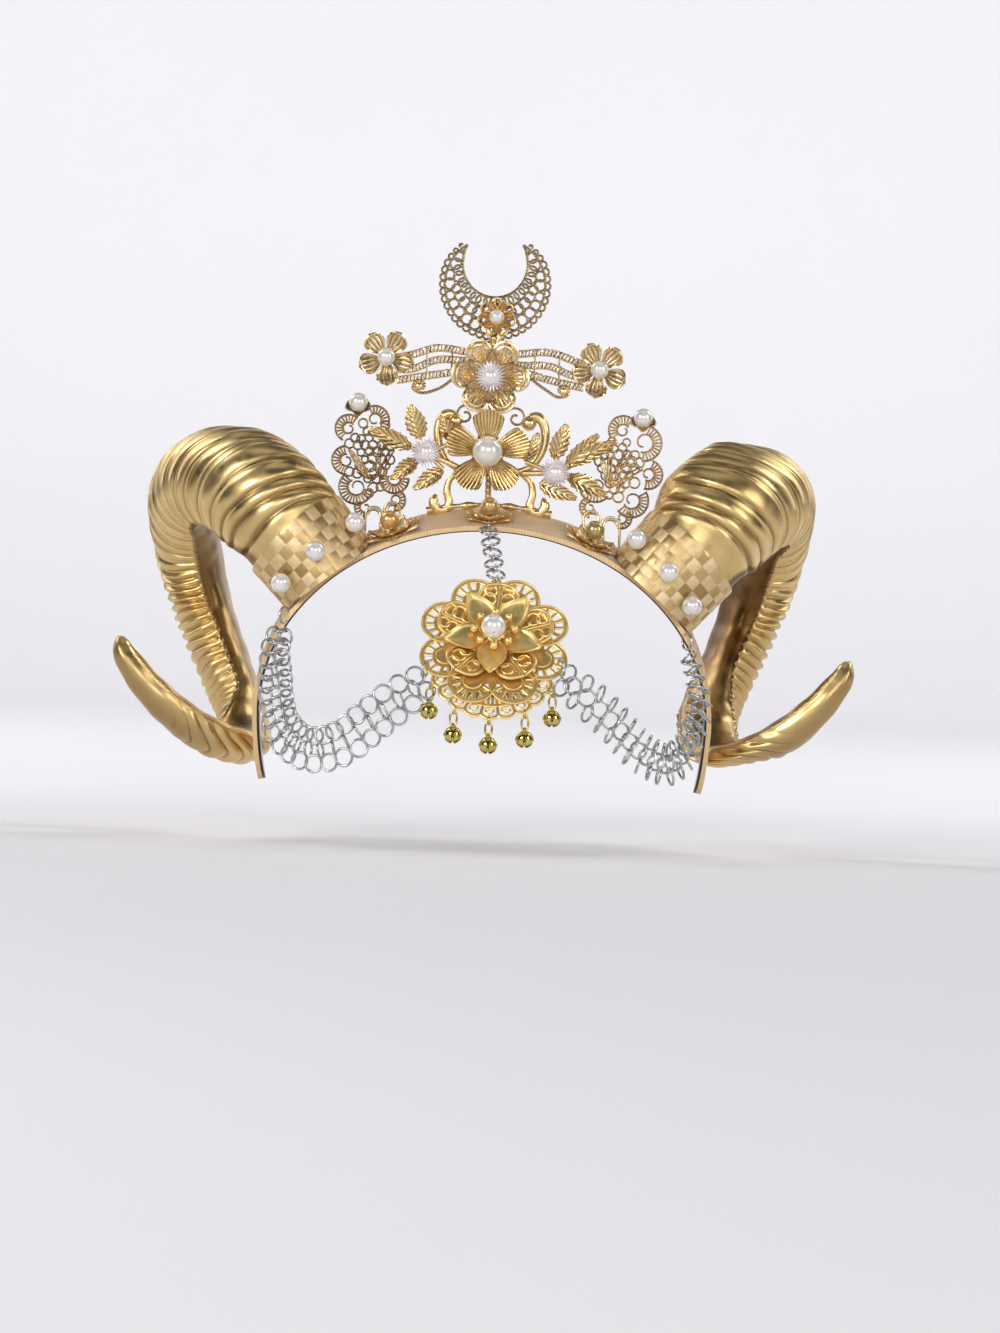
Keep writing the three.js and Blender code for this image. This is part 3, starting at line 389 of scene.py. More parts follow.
def smooth_line(points, samples):
    """A rounded line through the points, with the same number of samples between each two."""
    points = np.asarray(points, float)
    ends = np.vstack([2 * points[0] - points[1], points, 2 * points[-1] - points[-2]])
    at = np.linspace(0.0, len(points) - 1.0, samples)
    k = np.minimum(at.astype(int), len(points) - 2)
    share = (at - k)[:, None]
    a, b, c, d = (ends[k + step] for step in range(4))
    steps = (np.linalg.norm(q - p, axis=-1, keepdims=True) for p, q in ((a, b), (b, c), (c, d)))
    before, within, after = (np.maximum(step, 1e-6) ** 0.5 for step in steps)
    leave = ((b - a) / before - (c - a) / (before + within) + (c - b) / within) * within
    arrive = ((c - b) / within - (d - b) / (within + after) + (d - c) / after) * within
    cubic = (2 * b - 2 * c + leave + arrive) * share**3
    square = (3 * c - 3 * b - 2 * leave - arrive) * share**2
    return b + leave * share + square + cubic


def horn_rails(shift_x, shift_z, back_x, face_turn, turn_back, face_depth, low_trim, bend_pinch):
    """The left horn's centre line with its sizes, inward and sideways directions, in one pose."""
    line = smooth_line(HORN_STATIONS[:, :3], RAIL_STEPS)
    sizes = smooth_line(HORN_STATIONS[:, 3:], RAIL_STEPS)
    along = run_length(line)
    base = 1.0 - smooth_step(along, *BASE_FADE)
    line = line + base[:, None] * np.array([shift_x, 0.0, shift_z])
    line = line + window(along, *CURL_BACK)[:, None] * np.array([back_x, 0.0, 0.0])
    deeper = face_depth * window(along, *DEEP_BACK) - bend_pinch * hump(along, *UPPER_BEND)
    sizes = sizes + np.stack([0 * along, -low_trim * window(along, *LOW_BEND), deeper], -1)
    tangent = unit(np.gradient(line, axis=0))
    inward = CURL_CENTRE - line
    inward = unit(inward - tangent * (inward * tangent).sum(1)[:, None])
    side = np.cross(inward, tangent)
    tucked = FACE_TUCK * smooth_step(along, *TUCK_RUN)
    turn = tucked + (face_turn - tucked) * smooth_step(along, *TURN_RUN)
    turn = np.radians(turn * (1.0 - smooth_step(along, turn_back - TURN_EASE, turn_back + TURN_EASE)))
    turned = inward * np.cos(turn)[:, None] + side * np.sin(turn)[:, None]
    return along, line, sizes, turned, np.cross(turned, tangent)


def horn_surface(rails, distance, angle, grow):
    """Points of a horn's skin by distance along it and angle round it, swollen by grow."""
    along, line, sizes, inward, side = rails
    width, outside, inside = np.moveaxis(sampled(distance, along, sizes), -1, 0)
    cosine, sine = np.cos(angle), np.sin(angle)
    squared = np.where(cosine < 0, 2 / 2.9, 1.0)  # the inner half is squarer than an ellipse
    deep = signed_power(cosine, squared) * (np.where(cosine > 0, outside, inside) + grow)
    wide = signed_power(sine, squared) * (width / 2 + grow)
    spots = sampled(distance, along, line) - sampled(distance, along, inward) * deep[..., None]
    return spots + sampled(distance, along, side) * wide[..., None]


def height_over_band(points):
    """How far points lie outside the covered arch, which the horns and cuffs are scribed to."""
    x, y, z = points[..., 0], points[..., 1], points[..., 2] + BAND_RISE
    turn = np.arctan2(x / BAND_HALF_SPAN, z / BAND_RISE)
    normal = unit(np.stack([np.sin(turn) * BAND_RISE, np.cos(turn) * BAND_HALF_SPAN], -1))
    spot_x, spot_z = BAND_HALF_SPAN * np.sin(turn), BAND_RISE * np.cos(turn)
    lift = (x - spot_x) * normal[..., 0] + (z - spot_z) * normal[..., 1]
    lean = np.radians(BAND_LEAN) * np.maximum(0.0, np.cos(turn))
    return lift - CLOTH_OUTSIDE / np.cos(lean) - y * np.tan(lean)


def scribed_start(rails, angles, grow):
    """Distance along the horn, at each angle, where its skin comes out of the covered band."""
    trial = np.linspace(0.0, CUFF_TOP - 2.0, 120)
    distance, angle = np.meshgrid(trial, angles, indexing="ij")
    clear = height_over_band(horn_surface(rails, distance, angle, grow)) > 0.6
    inside = np.where(clear, -1, np.arange(len(trial))[:, None]).max(0)
    return trial[np.clip(inside + 1, 0, len(trial) - 1)]


def ridge_phase(distance, length, first):
    """How many ridges lie before each distance along the horn, with uneven spacing."""
    table = np.linspace(0.0, length, 3000)
    pitch = np.interp(table, *RIDGE_PITCHES.T)
    rng = np.random.default_rng(7)
    wobble = np.interp(table, np.linspace(0.0, length, 50), rng.uniform(0.84, 1.18, 50))
    ridges = np.cumsum(np.where(table > first - 12, 1.0 / (pitch * wobble), 0.0)) * (table[1] - table[0])
    return np.interp(distance, table, ridges)


def ridge_slant(distance, angle, fold):
    """How much further along the horn a ridge lies at each place than it would straight across."""
    lean = RIDGE_TILT * np.interp(distance, [60, 150], [1.0, 0.3])
    folded = fold * smooth_step(distance, 205.0, 228.0)
    uneven = 0.6 * np.sin(distance * 0.21 + 3 * angle) + 0.5 * np.sin(distance * 0.13 - 2 * angle)
    return lean * np.sin(angle) + folded * np.cos(angle) + uneven


def horn_grid(rails, fold):
    """Distances and angles over a horn, in rows that start at the band and then run along the ridges."""
    length = rails[0][-1]
    angles = np.linspace(0.0, 2 * np.pi, HORN_SIDES, endpoint=False)
    start = scribed_start(rails, angles, 0.0)[None]
    evenly = np.linspace(0.0, length, HORN_RINGS)[:, None]
    scribed = start + (SCRIBED_RUN - start) * evenly / SCRIBED_RUN
    level = np.where(evenly < SCRIBED_RUN, scribed, evenly)
    angle = np.broadcast_to(angles, level.shape)
    follow = window(evenly, 15.0, 40.0, length - 45.0, length - 20.0)
    distance = level
    for _ in range(8):
        distance = np.clip(level - follow * ridge_slant(distance, angle, fold), start, length)
    return distance, angle


def ridge_cover(distance, angle, around, tilted, first, plain_back):
    """1 where a horn is ridged, and 0 at its base, its tip and its smooth face."""
    cover = smooth_step(tilted, first - 5, first + 3) * (1 - smooth_step(distance, *RIDGE_FADE))
    last = INNER_FACE + 24.0 * (np.sin(angle) < 0) * (1 - smooth_step(distance, 66.0, 92.0))
    cover = cover * (1 - smooth_step(np.abs(around) - last, -8.0, 4.0))
    back = around - np.interp(distance, [34, 62], [plain_back, 75.0])
    return cover * (1 - smooth_step(back, 0.0, 16.0) * (1 - smooth_step(distance, 62.0, 74.0)))


def ridge_profile(after, pipes, scallops):
    """Height, painted groove shade and painted crest highlight by share of a ridge's pitch, from rolls
    through pipes to scallops.
    """
    roll = np.sin(np.pi * after) ** 0.8
    groove = hump(after, 0.14, 0.085)
    crest = hump(np.minimum(after, 1.0 - after), 0.0, 0.06)
    gutter = hump(after, 0.16, 0.06)
    rolled = 0.45 * roll - 0.5 * groove - 0.12
    piped = 0.34 * roll + 0.4 * crest - 0.16 * gutter - 0.18
    scalloped = 0.95 * np.sin(np.pi * after) - 0.5
    height = rolled + (piped - rolled) * pipes
    height = height + (scalloped - height) * scallops
    groove_shade = 0.5 * gutter + (0.6 * crest - 0.5 * gutter) * scallops
    groove_shade = 0.75 * groove + (groove_shade - 0.75 * groove) * pipes
    return height, groove_shade, crest * pipes * (1 - scallops)


def smooth_face_shade(distance, angle, around, far, near, bend):
    """Painted shade on the smooth face, more of it under the bend, painted shade under the tip, and a dark
    line along the seam.
    """
    face = far + (near - far) * smooth_step(-np.sin(angle), -0.7, 0.7)
    face = face + bend * (1 - smooth_step(distance, 130.0, 200.0))
    inner = smooth_step(np.abs(around), INNER_FACE, INNER_FACE + 10)
    seam = hump(np.abs(around), INNER_FACE + 3, 4.0) * smooth_step(distance, 60.0, 90.0)
    under = smooth_step(np.cos(angle), -0.1, 0.8) * smooth_step(distance, 225.0, 258.0)
    return face * inner + 0.5 * seam + 0.4 * under


def horn_shape(rails, first, fold, corner, plain_back, face_shade):
    """A horn with its ridges, as one closed skin scribed to the band."""
    length = rails[0][-1]
    distance, angle = horn_grid(rails, fold)
    tilted = distance + ridge_slant(distance, angle, fold)
    around = np.degrees((angle + np.pi) % (2 * np.pi) - np.pi)
    cover = ridge_cover(distance, angle, around, tilted, first, plain_back)
    pipes, scallops = smooth_step(distance, *PIPED_RUN), smooth_step(distance, *SCALLOPED_RUN)
    height, groove_shade, crest_highlight = ridge_profile(ridge_phase(tilted, length, first) % 1.0, pipes, scallops)
    size = RIDGE_HEIGHT * np.interp(distance, [0, 120, 200, 260], [1.0, 0.85, 0.75, 0.45])
    lip = LIP_HEIGHT * hump(np.abs(around), INNER_FACE, 3.5) * smooth_step(distance, 50.0, 90.0)
    lip = lip * (1 + 0.5 * np.sin(distance * 1.7) * np.sin(distance * 0.53))
    dents = np.sin(distance * 0.31 + 2 * angle) * np.sin(distance * 0.17 - 3 * angle + 1.0)
    dents = DENT_DEPTH * dents * smooth_step(distance, CUFF_TOP, CUFF_TOP + 8.0)
    bulge = corner * window(distance, *TOP_BULGE) * hump(angle, 0.96, 0.5)
    points = horn_surface(rails, distance, angle, size * cover * height + lip + dents + bulge)
    centre = sampled(distance, rails[0], rails[1])
    tip = np.sqrt(np.clip(1.0 - ((distance - length + 5.0) / 5.2).clip(0.0) ** 2, 0.02, 1.0))
    points = centre + (points - centre) * tip[..., None]
    # painted shade in the grooves, on the smooth face and under the tip, taken off the crests as a painted
    # highlight
    painted_shading = PAINTED_BODY_SHADE + groove_shade * cover + smooth_face_shade(distance, angle, around, *face_shade)
    return skin(points, np.clip(painted_shading, 0.0, 1.0) * (1.0 - crest_highlight * cover))


def on_side(shape, side):
    """A shape drawn for the left, or its mirror twin on the right."""
    points, faces, recess = shape
    if side == "left":
        return shape
    return points * np.array([-1.0, 1.0, 1.0]), [face[:, ::-1] for face in faces], recess


def gold_finish(name, light, deep, patina_and_shade, rough, mottle, coat=0.0):
    """Gold that is mottled between two tones, darker by the recess attribute, which carries patina and
    painted shade, and unevenly polished.
    """
    finish, tree, shader = new_finish(name, {"Metallic": 1.0, "Coat Weight": coat, "Coat Roughness": 0.24})
    body = blended(tree, ranged(tree, noise(tree, mottle, 5.0), 0.0, 1.0), deep, light)
    recess = add_node(tree, "Attribute", "Fac", {}, attribute_name="recess")
    tree.links.new(blended(tree, recess, body, patina_and_shade), shader.inputs["Base Color"])
    worn = ranged(tree, noise(tree, 3.1 * mottle, 3.0), rough - 0.07, rough + 0.1)
    tree.links.new(worn, shader.inputs["Roughness"])
    return finish


# On the horns the recess colour is painted shade, and the crests are left lighter as a painted highlight.
horn_gold = gold_finish(
    "antique_gold_paint",
    (0.94, 0.70, 0.32, 1), (0.74, 0.52, 0.21, 1), (0.17, 0.085, 0.02, 1), 0.33, 55.0, 0.3,
)
horns = {side: horn_rails(**pose) for side, pose in HORN_POSES.items()}
for side, rails in horns.items():
    horn = on_side(horn_shape(rails, **HORN_RIDGES[side]), side)
    make_piece(f"{side}_ram_horn", [horn], horn_gold, f"horn_{side}", 179.0)

# Cuffs
# Each real cuff is a strip of foil cloth printed in small squares, pale matte gold beside bronze,
# wrapped round the base of a horn and glued down on the headband.

CUFF_LIFT = 0.4
CUFF_WALL = 1.2
SQUARE = 4.3
SQUARE_CUSHION = 0.22
SQUARES_ROUND = 30
SQUARE_ROWS = 6
SQUARE_STEPS = 7


def cuff_shape(rails):
    """A cuff as a closed wall with a low cushion on each square, and where each point lies."""
    angles = np.linspace(0.0, 2 * np.pi, SQUARES_ROUND * SQUARE_STEPS, endpoint=False)
    start = scribed_start(rails, angles, CUFF_LIFT + CUFF_WALL)[None]
    share = np.linspace(0.0, 1.0, SQUARE_ROWS * SQUARE_STEPS + 1)[:, None]
    along = start + (CUFF_TOP - start) * share
    angle = np.broadcast_to(angles, along.shape)
    column = angle / (2 * np.pi) * SQUARES_ROUND
    row = (CUFF_TOP - along) / SQUARE
    cushion = np.abs(np.sin(np.pi * column) * np.sin(np.pi * row)) ** 0.3
    swell = CUFF_LIFT + CUFF_WALL - SQUARE_CUSHION + SQUARE_CUSHION * cushion
    outer = horn_surface(rails, along, angle, swell)
    inner = horn_surface(rails, along, angle, CUFF_LIFT)
    places = np.stack([column, row, 0 * row], -1)
    return skin(np.concatenate([outer, inner[::-1]]), closed=True), np.concatenate([places, places[::-1]])


cuff_foil, foil_tree, foil_shader = new_finish("chequered_foil", {"Metallic": 0.85})
foil_place = add_node(foil_tree, "Attribute", "Vector", {}, attribute_name="square")
foil_square = add_node(foil_tree, "VectorMath", "Vector", {0: foil_place}, operation="FLOOR")
foil_tint = add_node(foil_tree, "TexWhiteNoise", "Value", {"Vector": foil_square})
checks = {"Vector": foil_place, "Scale": 1.0, "Color1": (1, 1, 1, 1), "Color2": (0, 0, 0, 1)}
foil_check = add_node(foil_tree, "TexChecker", "Fac", checks)
foil_pale = blended(foil_tree, foil_tint, (0.80, 0.60, 0.32, 1), (0.90, 0.72, 0.44, 1))
foil_dark = blended(foil_tree, foil_tint, (0.38, 0.24, 0.09, 1), (0.74, 0.53, 0.25, 1))
foil_print = blended(foil_tree, foil_check, foil_dark, foil_pale)
foil_wear = ranged(foil_tree, noise(foil_tree, 500.0), 0.0, 0.35)
foil_colour = blended(foil_tree, foil_wear, foil_print, (0.5, 0.34, 0.14, 1))
foil_tree.links.new(foil_colour, foil_shader.inputs["Base Color"])
foil_tree.links.new(ranged(foil_tree, foil_check, 0.33, 0.5, 0.0, 1.0), foil_shader.inputs["Roughness"])
roughen(foil_tree, foil_shader, noise(foil_tree, 2200.0), 0.25, 0.0002)
for side, rails in horns.items():
    shape, places = cuff_shape(rails)
    cuff = make_piece(f"{side}_foil_cuff", [on_side(shape, side)], cuff_foil, f"cuff_{side}")
    squares = cuff.data.attributes.new("square", "FLOAT_VECTOR", "POINT")
    squares.data.foreach_set("vector", places.astype(np.float32).ravel())

# Round pearls
# The real ones are glossy moulded pearls, drilled through, with a thin nacre coat over a pale core.
# Three are glued to each cuff, and the rest are pinned in the flowers and on the lace.

PEARL_HOLE = 0.45
PEARL_SEGMENTS = 40
CUFF_PEARLS = {
    # degrees round each cuff and distance along it
    "left": [(-4.0, 13.5), (-54.0, 13.5), (-94.0, 13.5)],
    "right": [(-7.0, 13.5), (-52.0, 12.0), (-90.0, 9.5)],
}
CUFF_PEARL_RADIUS = 4.0
CUFF_PEARL_SINK = 0.2
PENDANT_PEARL_RADIUS = 4.8
PENDANT_PEARL_SHIFT = np.array([-0.4, 0.0, -1.2])
ROUND_PEARLS = ["crescent_pearl", "wing_pearl_left", "wing_pearl_right", "main_pearl"]
ROUND_PEARLS += ["lace_pearl_left", "lace_pearl_right", "pendant_pearl"]


def node_middle(node):
    """The middle and the largest half size of a CAD node, in millimetres."""
    low, high = (np.array(corner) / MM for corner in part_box(node))
    return (low + high) / 2, (high - low).max() / 2


def ball_profile(radius, start, end, count, lift=0.0):
    """Radius and height pairs along a circle, between two angles from its top."""
    return [(radius * math.sin(t), radius * math.cos(t) + lift) for t in np.linspace(start, end, count)]


def turned_solid(profile, segments=PEARL_SEGMENTS):
    """A solid of revolution round its own z from radius and height pairs that start and end on the axis."""
    profile = np.asarray(profile, float)
    turn = np.linspace(0.0, 2 * np.pi, segments, endpoint=False)
    flat = np.zeros(segments)
    rings = [np.stack([r * np.cos(turn), r * np.sin(turn), flat + h], -1) for r, h in profile[1:-1]]
    points, faces, recess = skin(rings)
    points[-2], points[-1] = (0.0, 0.0, profile[0, 1]), (0.0, 0.0, profile[-1, 1])
    return points, faces, recess


def placed(shape, origin, right=(1.0, 0.0, 0.0), up=(0.0, 0.0, 1.0)):
    """The shape with its x along right, its y along up and its z out of that plane toward the front."""
    points, faces, recess = shape
    right, up = unit(right), unit(up)
    return points @ np.stack([right, up, np.cross(right, up)]) + np.asarray(origin, float), faces, recess


def drilled_pearl(radius):
    """A round pearl with a small countersunk hole at each pole."""
    start = math.asin(PEARL_HOLE / radius)
    sink = radius * math.cos(start) - 0.6
    profile = [(0.0, sink), (PEARL_HOLE * 0.7, sink)]
    profile += ball_profile(radius, start, np.pi - start, 26)
    profile += [(PEARL_HOLE * 0.7, -sink), (0.0, -sink)]
    return turned_solid(profile)


def pearl_finish(name, light, deep):
    """Nacre: a soft body under a clear glossy coat."""
    finish, tree, shader = new_finish(
        name,
        {"Roughness": 0.2, "Metallic": 0.25, "Coat Weight": 0.9, "Coat Roughness": 0.06, "IOR": 1.7},
    )
    colour = blended(tree, ranged(tree, noise(tree, 90.0, 1.0), 0.0, 1.0), deep, light)
    tree.links.new(colour, shader.inputs["Base Color"])
    return finish


nacre = pearl_finish("white_nacre", (0.84, 0.80, 0.75, 1), (0.78, 0.73, 0.68, 1))
pearl_spots = {node: node_middle(node) for node in ROUND_PEARLS}
pearl_spots["pendant_pearl"] = (pearl_spots["pendant_pearl"][0] + PENDANT_PEARL_SHIFT, PENDANT_PEARL_RADIUS)
for side, places in CUFF_PEARLS.items():
    for k, (degrees, along) in enumerate(places):
        lift = CUFF_LIFT + CUFF_WALL + CUFF_PEARL_RADIUS - CUFF_PEARL_SINK
        spot = horn_surface(horns[side], np.array(along), np.radians(degrees), lift)
        spot = on_side((spot, [], None), side)[0]
        pearl_spots[f"cuff_pearl_{side}_{k + 1}"] = (spot, CUFF_PEARL_RADIUS)
for k, (node, (middle, radius)) in enumerate(pearl_spots.items()):
    tilt = math.radians(25.0 * k)
    hole_up = (0.2, math.sin(tilt), math.cos(tilt))
    bead = placed(drilled_pearl(radius), middle, np.cross((0.0, 1.0, 0.4), hole_up), hole_up)
    make_piece(f"round_{node}", [bead], nacre, node)

# Scroll frame
# The real piece is one gold casting: a stem, two C-scrolls that end in balls, two curled feet and a
# low leafy bar. It is soldered up behind the flowers and stands on the rear half of the headband.

CROWN_Y = 8.0
SCROLL_LINE = [
    [14.6, 40.6], [15.2, 43.4], [18.2, 44.0], [20.8, 41.0], [21.6, 35.6],
    [20.0, 29.0], [16.4, 24.0], [9, 21.2], [0, 20.5],
]
SCROLL_GIRTH = ([0, 0.3, 0.55, 1], [1.2, 2.1, 1.7, 1.0])  # shares of the line and the radii there
SCROLL_BALL = (14.8, 41.2, 3.1)  # x, z and radius
FOOT_LINE = [
    [12.6, 21], [16.4, 17.2], [17.2, 12.4], [16.2, 8.4],
    [17.6, 5.6], [20.6, 5.4], [22.4, 8.2], [21.6, 11.6],
]
FOOT_GIRTH = ([0, 0.4, 0.8, 0.92, 1], [1.2, 1.7, 2.2, 1.9, 0.7])
BAR_REACH = 25.0
BAR_STEPS = 41
STEM_X = -0.6
STEM_TOP = 76.0


def tube(path, radius, sides=8, closed=False, face=(0.0, -1.0, 0.0), flat=1.0, recess=0.0):
    """A rod along a path. face is the way its flat side looks and flat how much thinner it is that way."""
    path = np.asarray(path, float)
    if closed:
        tangent = unit(np.roll(path, -1, 0) - np.roll(path, 1, 0))
    else:
        tangent = unit(np.gradient(path, axis=0))
    side = np.empty_like(path)
    seed = np.asarray(face, float)
    for k, along in enumerate(tangent):
        seed = seed - along * seed.dot(along)
        seed = seed / np.linalg.norm(seed)
        side[k] = seed
    other = np.cross(tangent, side)
    turn = np.linspace(0.0, 2 * np.pi, sides, endpoint=False)
    reach = np.broadcast_to(radius, len(path))[:, None, None]
    thin, broad = (flat * np.cos(turn))[None, :, None], np.sin(turn)[None, :, None]
    ring = side[:, None] * thin + other[:, None] * broad
    depth = np.broadcast_to(recess, len(path))[:, None] * np.ones(sides)
    return skin(path[:, None] + reach * ring, depth, closed)


def in_plane(points, y, side=1.0):
    """Points given by x and z, set at one depth and mirrored by side."""
    points = np.asarray(points, float)
    return np.stack([side * points[:, 0], np.full(len(points), y), points[:, 1]], -1)


def band_top(x, y, lift):
    """The point lift above the cloth at x and y, found along the arch."""
    spots, across, out = band_frames(np.linspace(-89.0, 89.0, 1500))
    slope = np.sqrt(1.0 - out[:, 1] ** 2)
    shift = (y - (CLOTH_OUTSIDE + lift) * out[:, 1]) / slope
    trial = spots + across * shift[:, None] + out * (CLOTH_OUTSIDE + lift)
    return trial[np.abs(trial[:, 0] - x).argmin()]


def beaded(path, radius, pitch, closed=False, sides=6, depth=0.34):
    """A wire pressed into a row of beads."""
    path = np.asarray(path, float)
    if closed:
        path = np.vstack([path, path[:1]])
    gone = run_length(path)
    beads = max(3, round(gone[-1] / pitch))
    at = np.linspace(0.0, gone[-1], 4 * beads + 1)
    fine = sampled(at, gone, path)
    swell = 0.5 - 0.5 * np.cos(2 * np.pi * beads * at / gone[-1])
    if closed:
        fine, swell = fine[:-1], swell[:-1]
    return tube(fine, radius * (1 - depth + depth * swell), sides, closed, recess=0.85 * (1 - swell))


cast_gold = gold_finish(
    "satin_cast_gold", (0.86, 0.66, 0.36, 1), (0.70, 0.50, 0.22, 1), (0.28, 0.16, 0.05, 1), 0.28, 160.0
)
ball_x, ball_z, ball_radius = SCROLL_BALL
casting = []
for side in (-1.0, 1.0):
    for line, girth in ((SCROLL_LINE, SCROLL_GIRTH), (FOOT_LINE, FOOT_GIRTH)):
        path = smooth_line(in_plane(line, CROWN_Y, side), 60)
        casting.append(tube(path, np.interp(np.linspace(0, 1, 60), *girth), 12, flat=0.8))
    ball = turned_solid(ball_profile(ball_radius, 0.0, np.pi, 16), 24)
    casting.append(placed(ball, (side * ball_x, CROWN_Y, ball_z)))
bar_spots = np.array([band_top(x, CROWN_Y, 1.5) for x in np.linspace(-BAR_REACH, BAR_REACH, BAR_STEPS)])
casting.append(tube(bar_spots, 1.25 + 0.35 * np.cos(np.linspace(-6 * np.pi, 6 * np.pi, BAR_STEPS)), 10))
stem_foot = bar_spots[BAR_STEPS // 2, 2]
stem = np.array([[STEM_X, CROWN_Y, z] for z in np.linspace(stem_foot, STEM_TOP, 120)])
casting.append(beaded(stem, 1.5, 2.4, sides=10, depth=0.25))
make_piece("cast_scroll_frame", casting, cast_gold, "scroll_frame")

# Crescent
# The real piece is filigree: small rings of beaded wire soldered between two curved rails, with a
# lacy edge of open loops. It stands points up at the top of the stem, with a small flower at its foot.

CRESCENT_OUTER = (-0.7, 96.8, 20.2, 127.0, 416.0)  # centre, radius, and the angles of its two tips
CRESCENT_INNER = (-0.9, 104.6, 13.0, 146.0, 397.5)
CRESCENT_Y = 10.3
CRESCENT_STEPS = 200
CRESCENT_STATIONS = 23
CRESCENT_WIRE = 0.62
RING_SPACING = 4.2
LOOP_SPACING = 8.1  # degrees between the loops of the edge
LOOP_RADIUS = 1.4


def arc_points(x, z, radius, start, end, y, count):
    """Points along an arc in an upright plane, with angles in degrees."""
    turn = np.radians(np.linspace(start, end, count))
    return np.stack([x + radius * np.cos(turn), np.full(count, y), z + radius * np.sin(turn)], -1)


def wire_ring(x, z, radius, y, wire, pitch=1.05):
    """A closed ring of beaded wire in an upright plane."""
    return beaded(arc_points(x, z, radius, 0.0, 350.0, y, 36), wire, pitch, closed=True)


pale_gold = gold_finish(
    "pale_antique_gold", (0.94, 0.78, 0.52, 1), (0.78, 0.60, 0.33, 1), (0.22, 0.12, 0.04, 1), 0.26, 220.0
)
# A darker copy of the pale gold for the crescent and the left lace: painted shade on their thin wires.
shaded_lace_gold = gold_finish(
    "dark_lace_gold", (0.74, 0.59, 0.35, 1), (0.52, 0.38, 0.19, 1), (0.12, 0.07, 0.025, 1), 0.28, 220.0
)
outer_rail = arc_points(*CRESCENT_OUTER, CRESCENT_Y, CRESCENT_STEPS)
inner_rail = arc_points(*CRESCENT_INNER, CRESCENT_Y, CRESCENT_STEPS)
meet = (inner_rail - outer_rail) * np.abs(np.linspace(-1.0, 1.0, CRESCENT_STEPS))[:, None] ** 12 * 0.5
outer_rail, inner_rail = outer_rail + meet, inner_rail - meet
crescent = [beaded(outer_rail, 0.68, 1.15), beaded(inner_rail, 0.7, 1.15)]
for share in np.linspace(0.035, 0.965, CRESCENT_STATIONS):
    k = int(share * (CRESCENT_STEPS - 1))
    inner, outer = inner_rail[k], outer_rail[k]
    width = np.linalg.norm(outer - inner)
    rings = max(1, round(width / RING_SPACING))
    for ring in range(rings):
        spot = inner + (outer - inner) * (ring + 0.5) / rings
        ring_y = CRESCENT_Y - 0.2 * (ring % 2)
        crescent.append(wire_ring(spot[0], spot[2], min(width / rings / 2, 2.2), ring_y, CRESCENT_WIRE))
edge_x, edge_z, edge_radius, first_tip, last_tip = CRESCENT_OUTER
for angle in np.arange(first_tip + 6.0, last_tip - 5.0, LOOP_SPACING):
    loop_x = edge_x + (edge_radius + 0.7) * math.cos(math.radians(angle))
    loop_z = edge_z + (edge_radius + 0.7) * math.sin(math.radians(angle))
    bend = LOOP_RADIUS * min(1.0, 0.35 + 0.02 * min(angle - first_tip, last_tip - angle))
    loop = arc_points(loop_x, loop_z, bend, angle - 125, angle + 125, CRESCENT_Y, 16)
    crescent.append(beaded(loop, CRESCENT_WIRE, 1.0))
make_piece("filigree_crescent", crescent, shaded_lace_gold, "crescent")


def slab(grid, thickness, recess=0.0):
    """A curved plate: a grid of points made thick along its normals."""
    rows, columns = grid.shape[:2]
    normal = unit(np.cross(np.gradient(grid, axis=1), np.gradient(grid, axis=0)))
    points = np.concatenate([grid + normal * thickness / 2, grid - normal * thickness / 2]).reshape(-1, 3)
    top = grid_faces(rows, columns)
    index = np.arange(rows * columns).reshape(rows, columns)
    rim = np.concatenate([index[0, :-1], index[:-1, -1], index[-1, :0:-1], index[:0:-1, 0]])
    following = np.roll(rim, -1)
    below = rows * columns
    wall = np.stack([rim, following, following + below, rim + below], -1)
    depth = np.broadcast_to(recess, (rows, columns)).reshape(-1)
    return points, [top, top[:, ::-1] + below, wall], np.concatenate([depth, depth])


def spun(shape, degrees):
    """The shape turned about its own z."""
    points, faces, recess = shape
    c, s = math.cos(math.radians(degrees)), math.sin(math.radians(degrees))
    return points @ np.array([[c, s, 0.0], [-s, c, 0.0], [0.0, 0.0, 1.0]]), faces, recess


def pointed(u):
    """Width of a petal that swells and then runs to a point."""
    return 0.06 + 0.94 * np.sin(np.pi * np.clip(u, 0.0, 1.0) ** 0.75 * 0.97 + 0.05) ** 0.85


def petal(
    hub, reach, half, outline, cup, ribs=0, rib_height=0.0, rounding=0.0, thick=0.6, grid=(16, 25), rim=0.0
):
    """A ribbed petal that grows up its own y from the hub and cups toward its own z."""
    u = np.linspace(0.0, 1.0, grid[0])[:, None]
    v = np.linspace(-1.0, 1.0, grid[1])[None]
    wave = np.cos(np.pi * ribs * v)
    x = half * outline(u) * v
    y = hub + (reach - hub) * u * (1.0 - rounding * v**2 + 0.02 * wave * (ribs > 4))
    edge = np.maximum(smooth_step(np.abs(v), 0.72, 0.9), smooth_step(u, 0.8, 0.94)) * (rim > 0.0)
    ribbed = rib_height * wave * smooth_step(u, 0.0, 0.3) * (1.0 - edge)
    z = cup * (u**2 + 0.6 * v**2 * u) + ribbed + rim * edge
    # The rib valleys and the part near the hub are coloured darker: patina and painted shade.
    valley = np.clip(0.5 - 0.5 * wave, 0.0, 1.0) ** 1.5 * 0.75 * (1.0 - edge) if ribs else 0.0
    depth = np.clip(valley * (0.4 + 0.6 * u) + 0.7 * (1 - u) ** 3, 0.0, 1.0) * np.ones_like(x)
    return slab(np.stack(np.broadcast_arrays(x, y, z), -1), thick, depth)


def flat_tube(path, radius, sides, flat=1.0, closed=False):
    """A rod in a shape's own plane, whose flat side looks along its z."""
    return tube(path, radius, sides, closed, (0.0, 0.0, 1.0), flat)


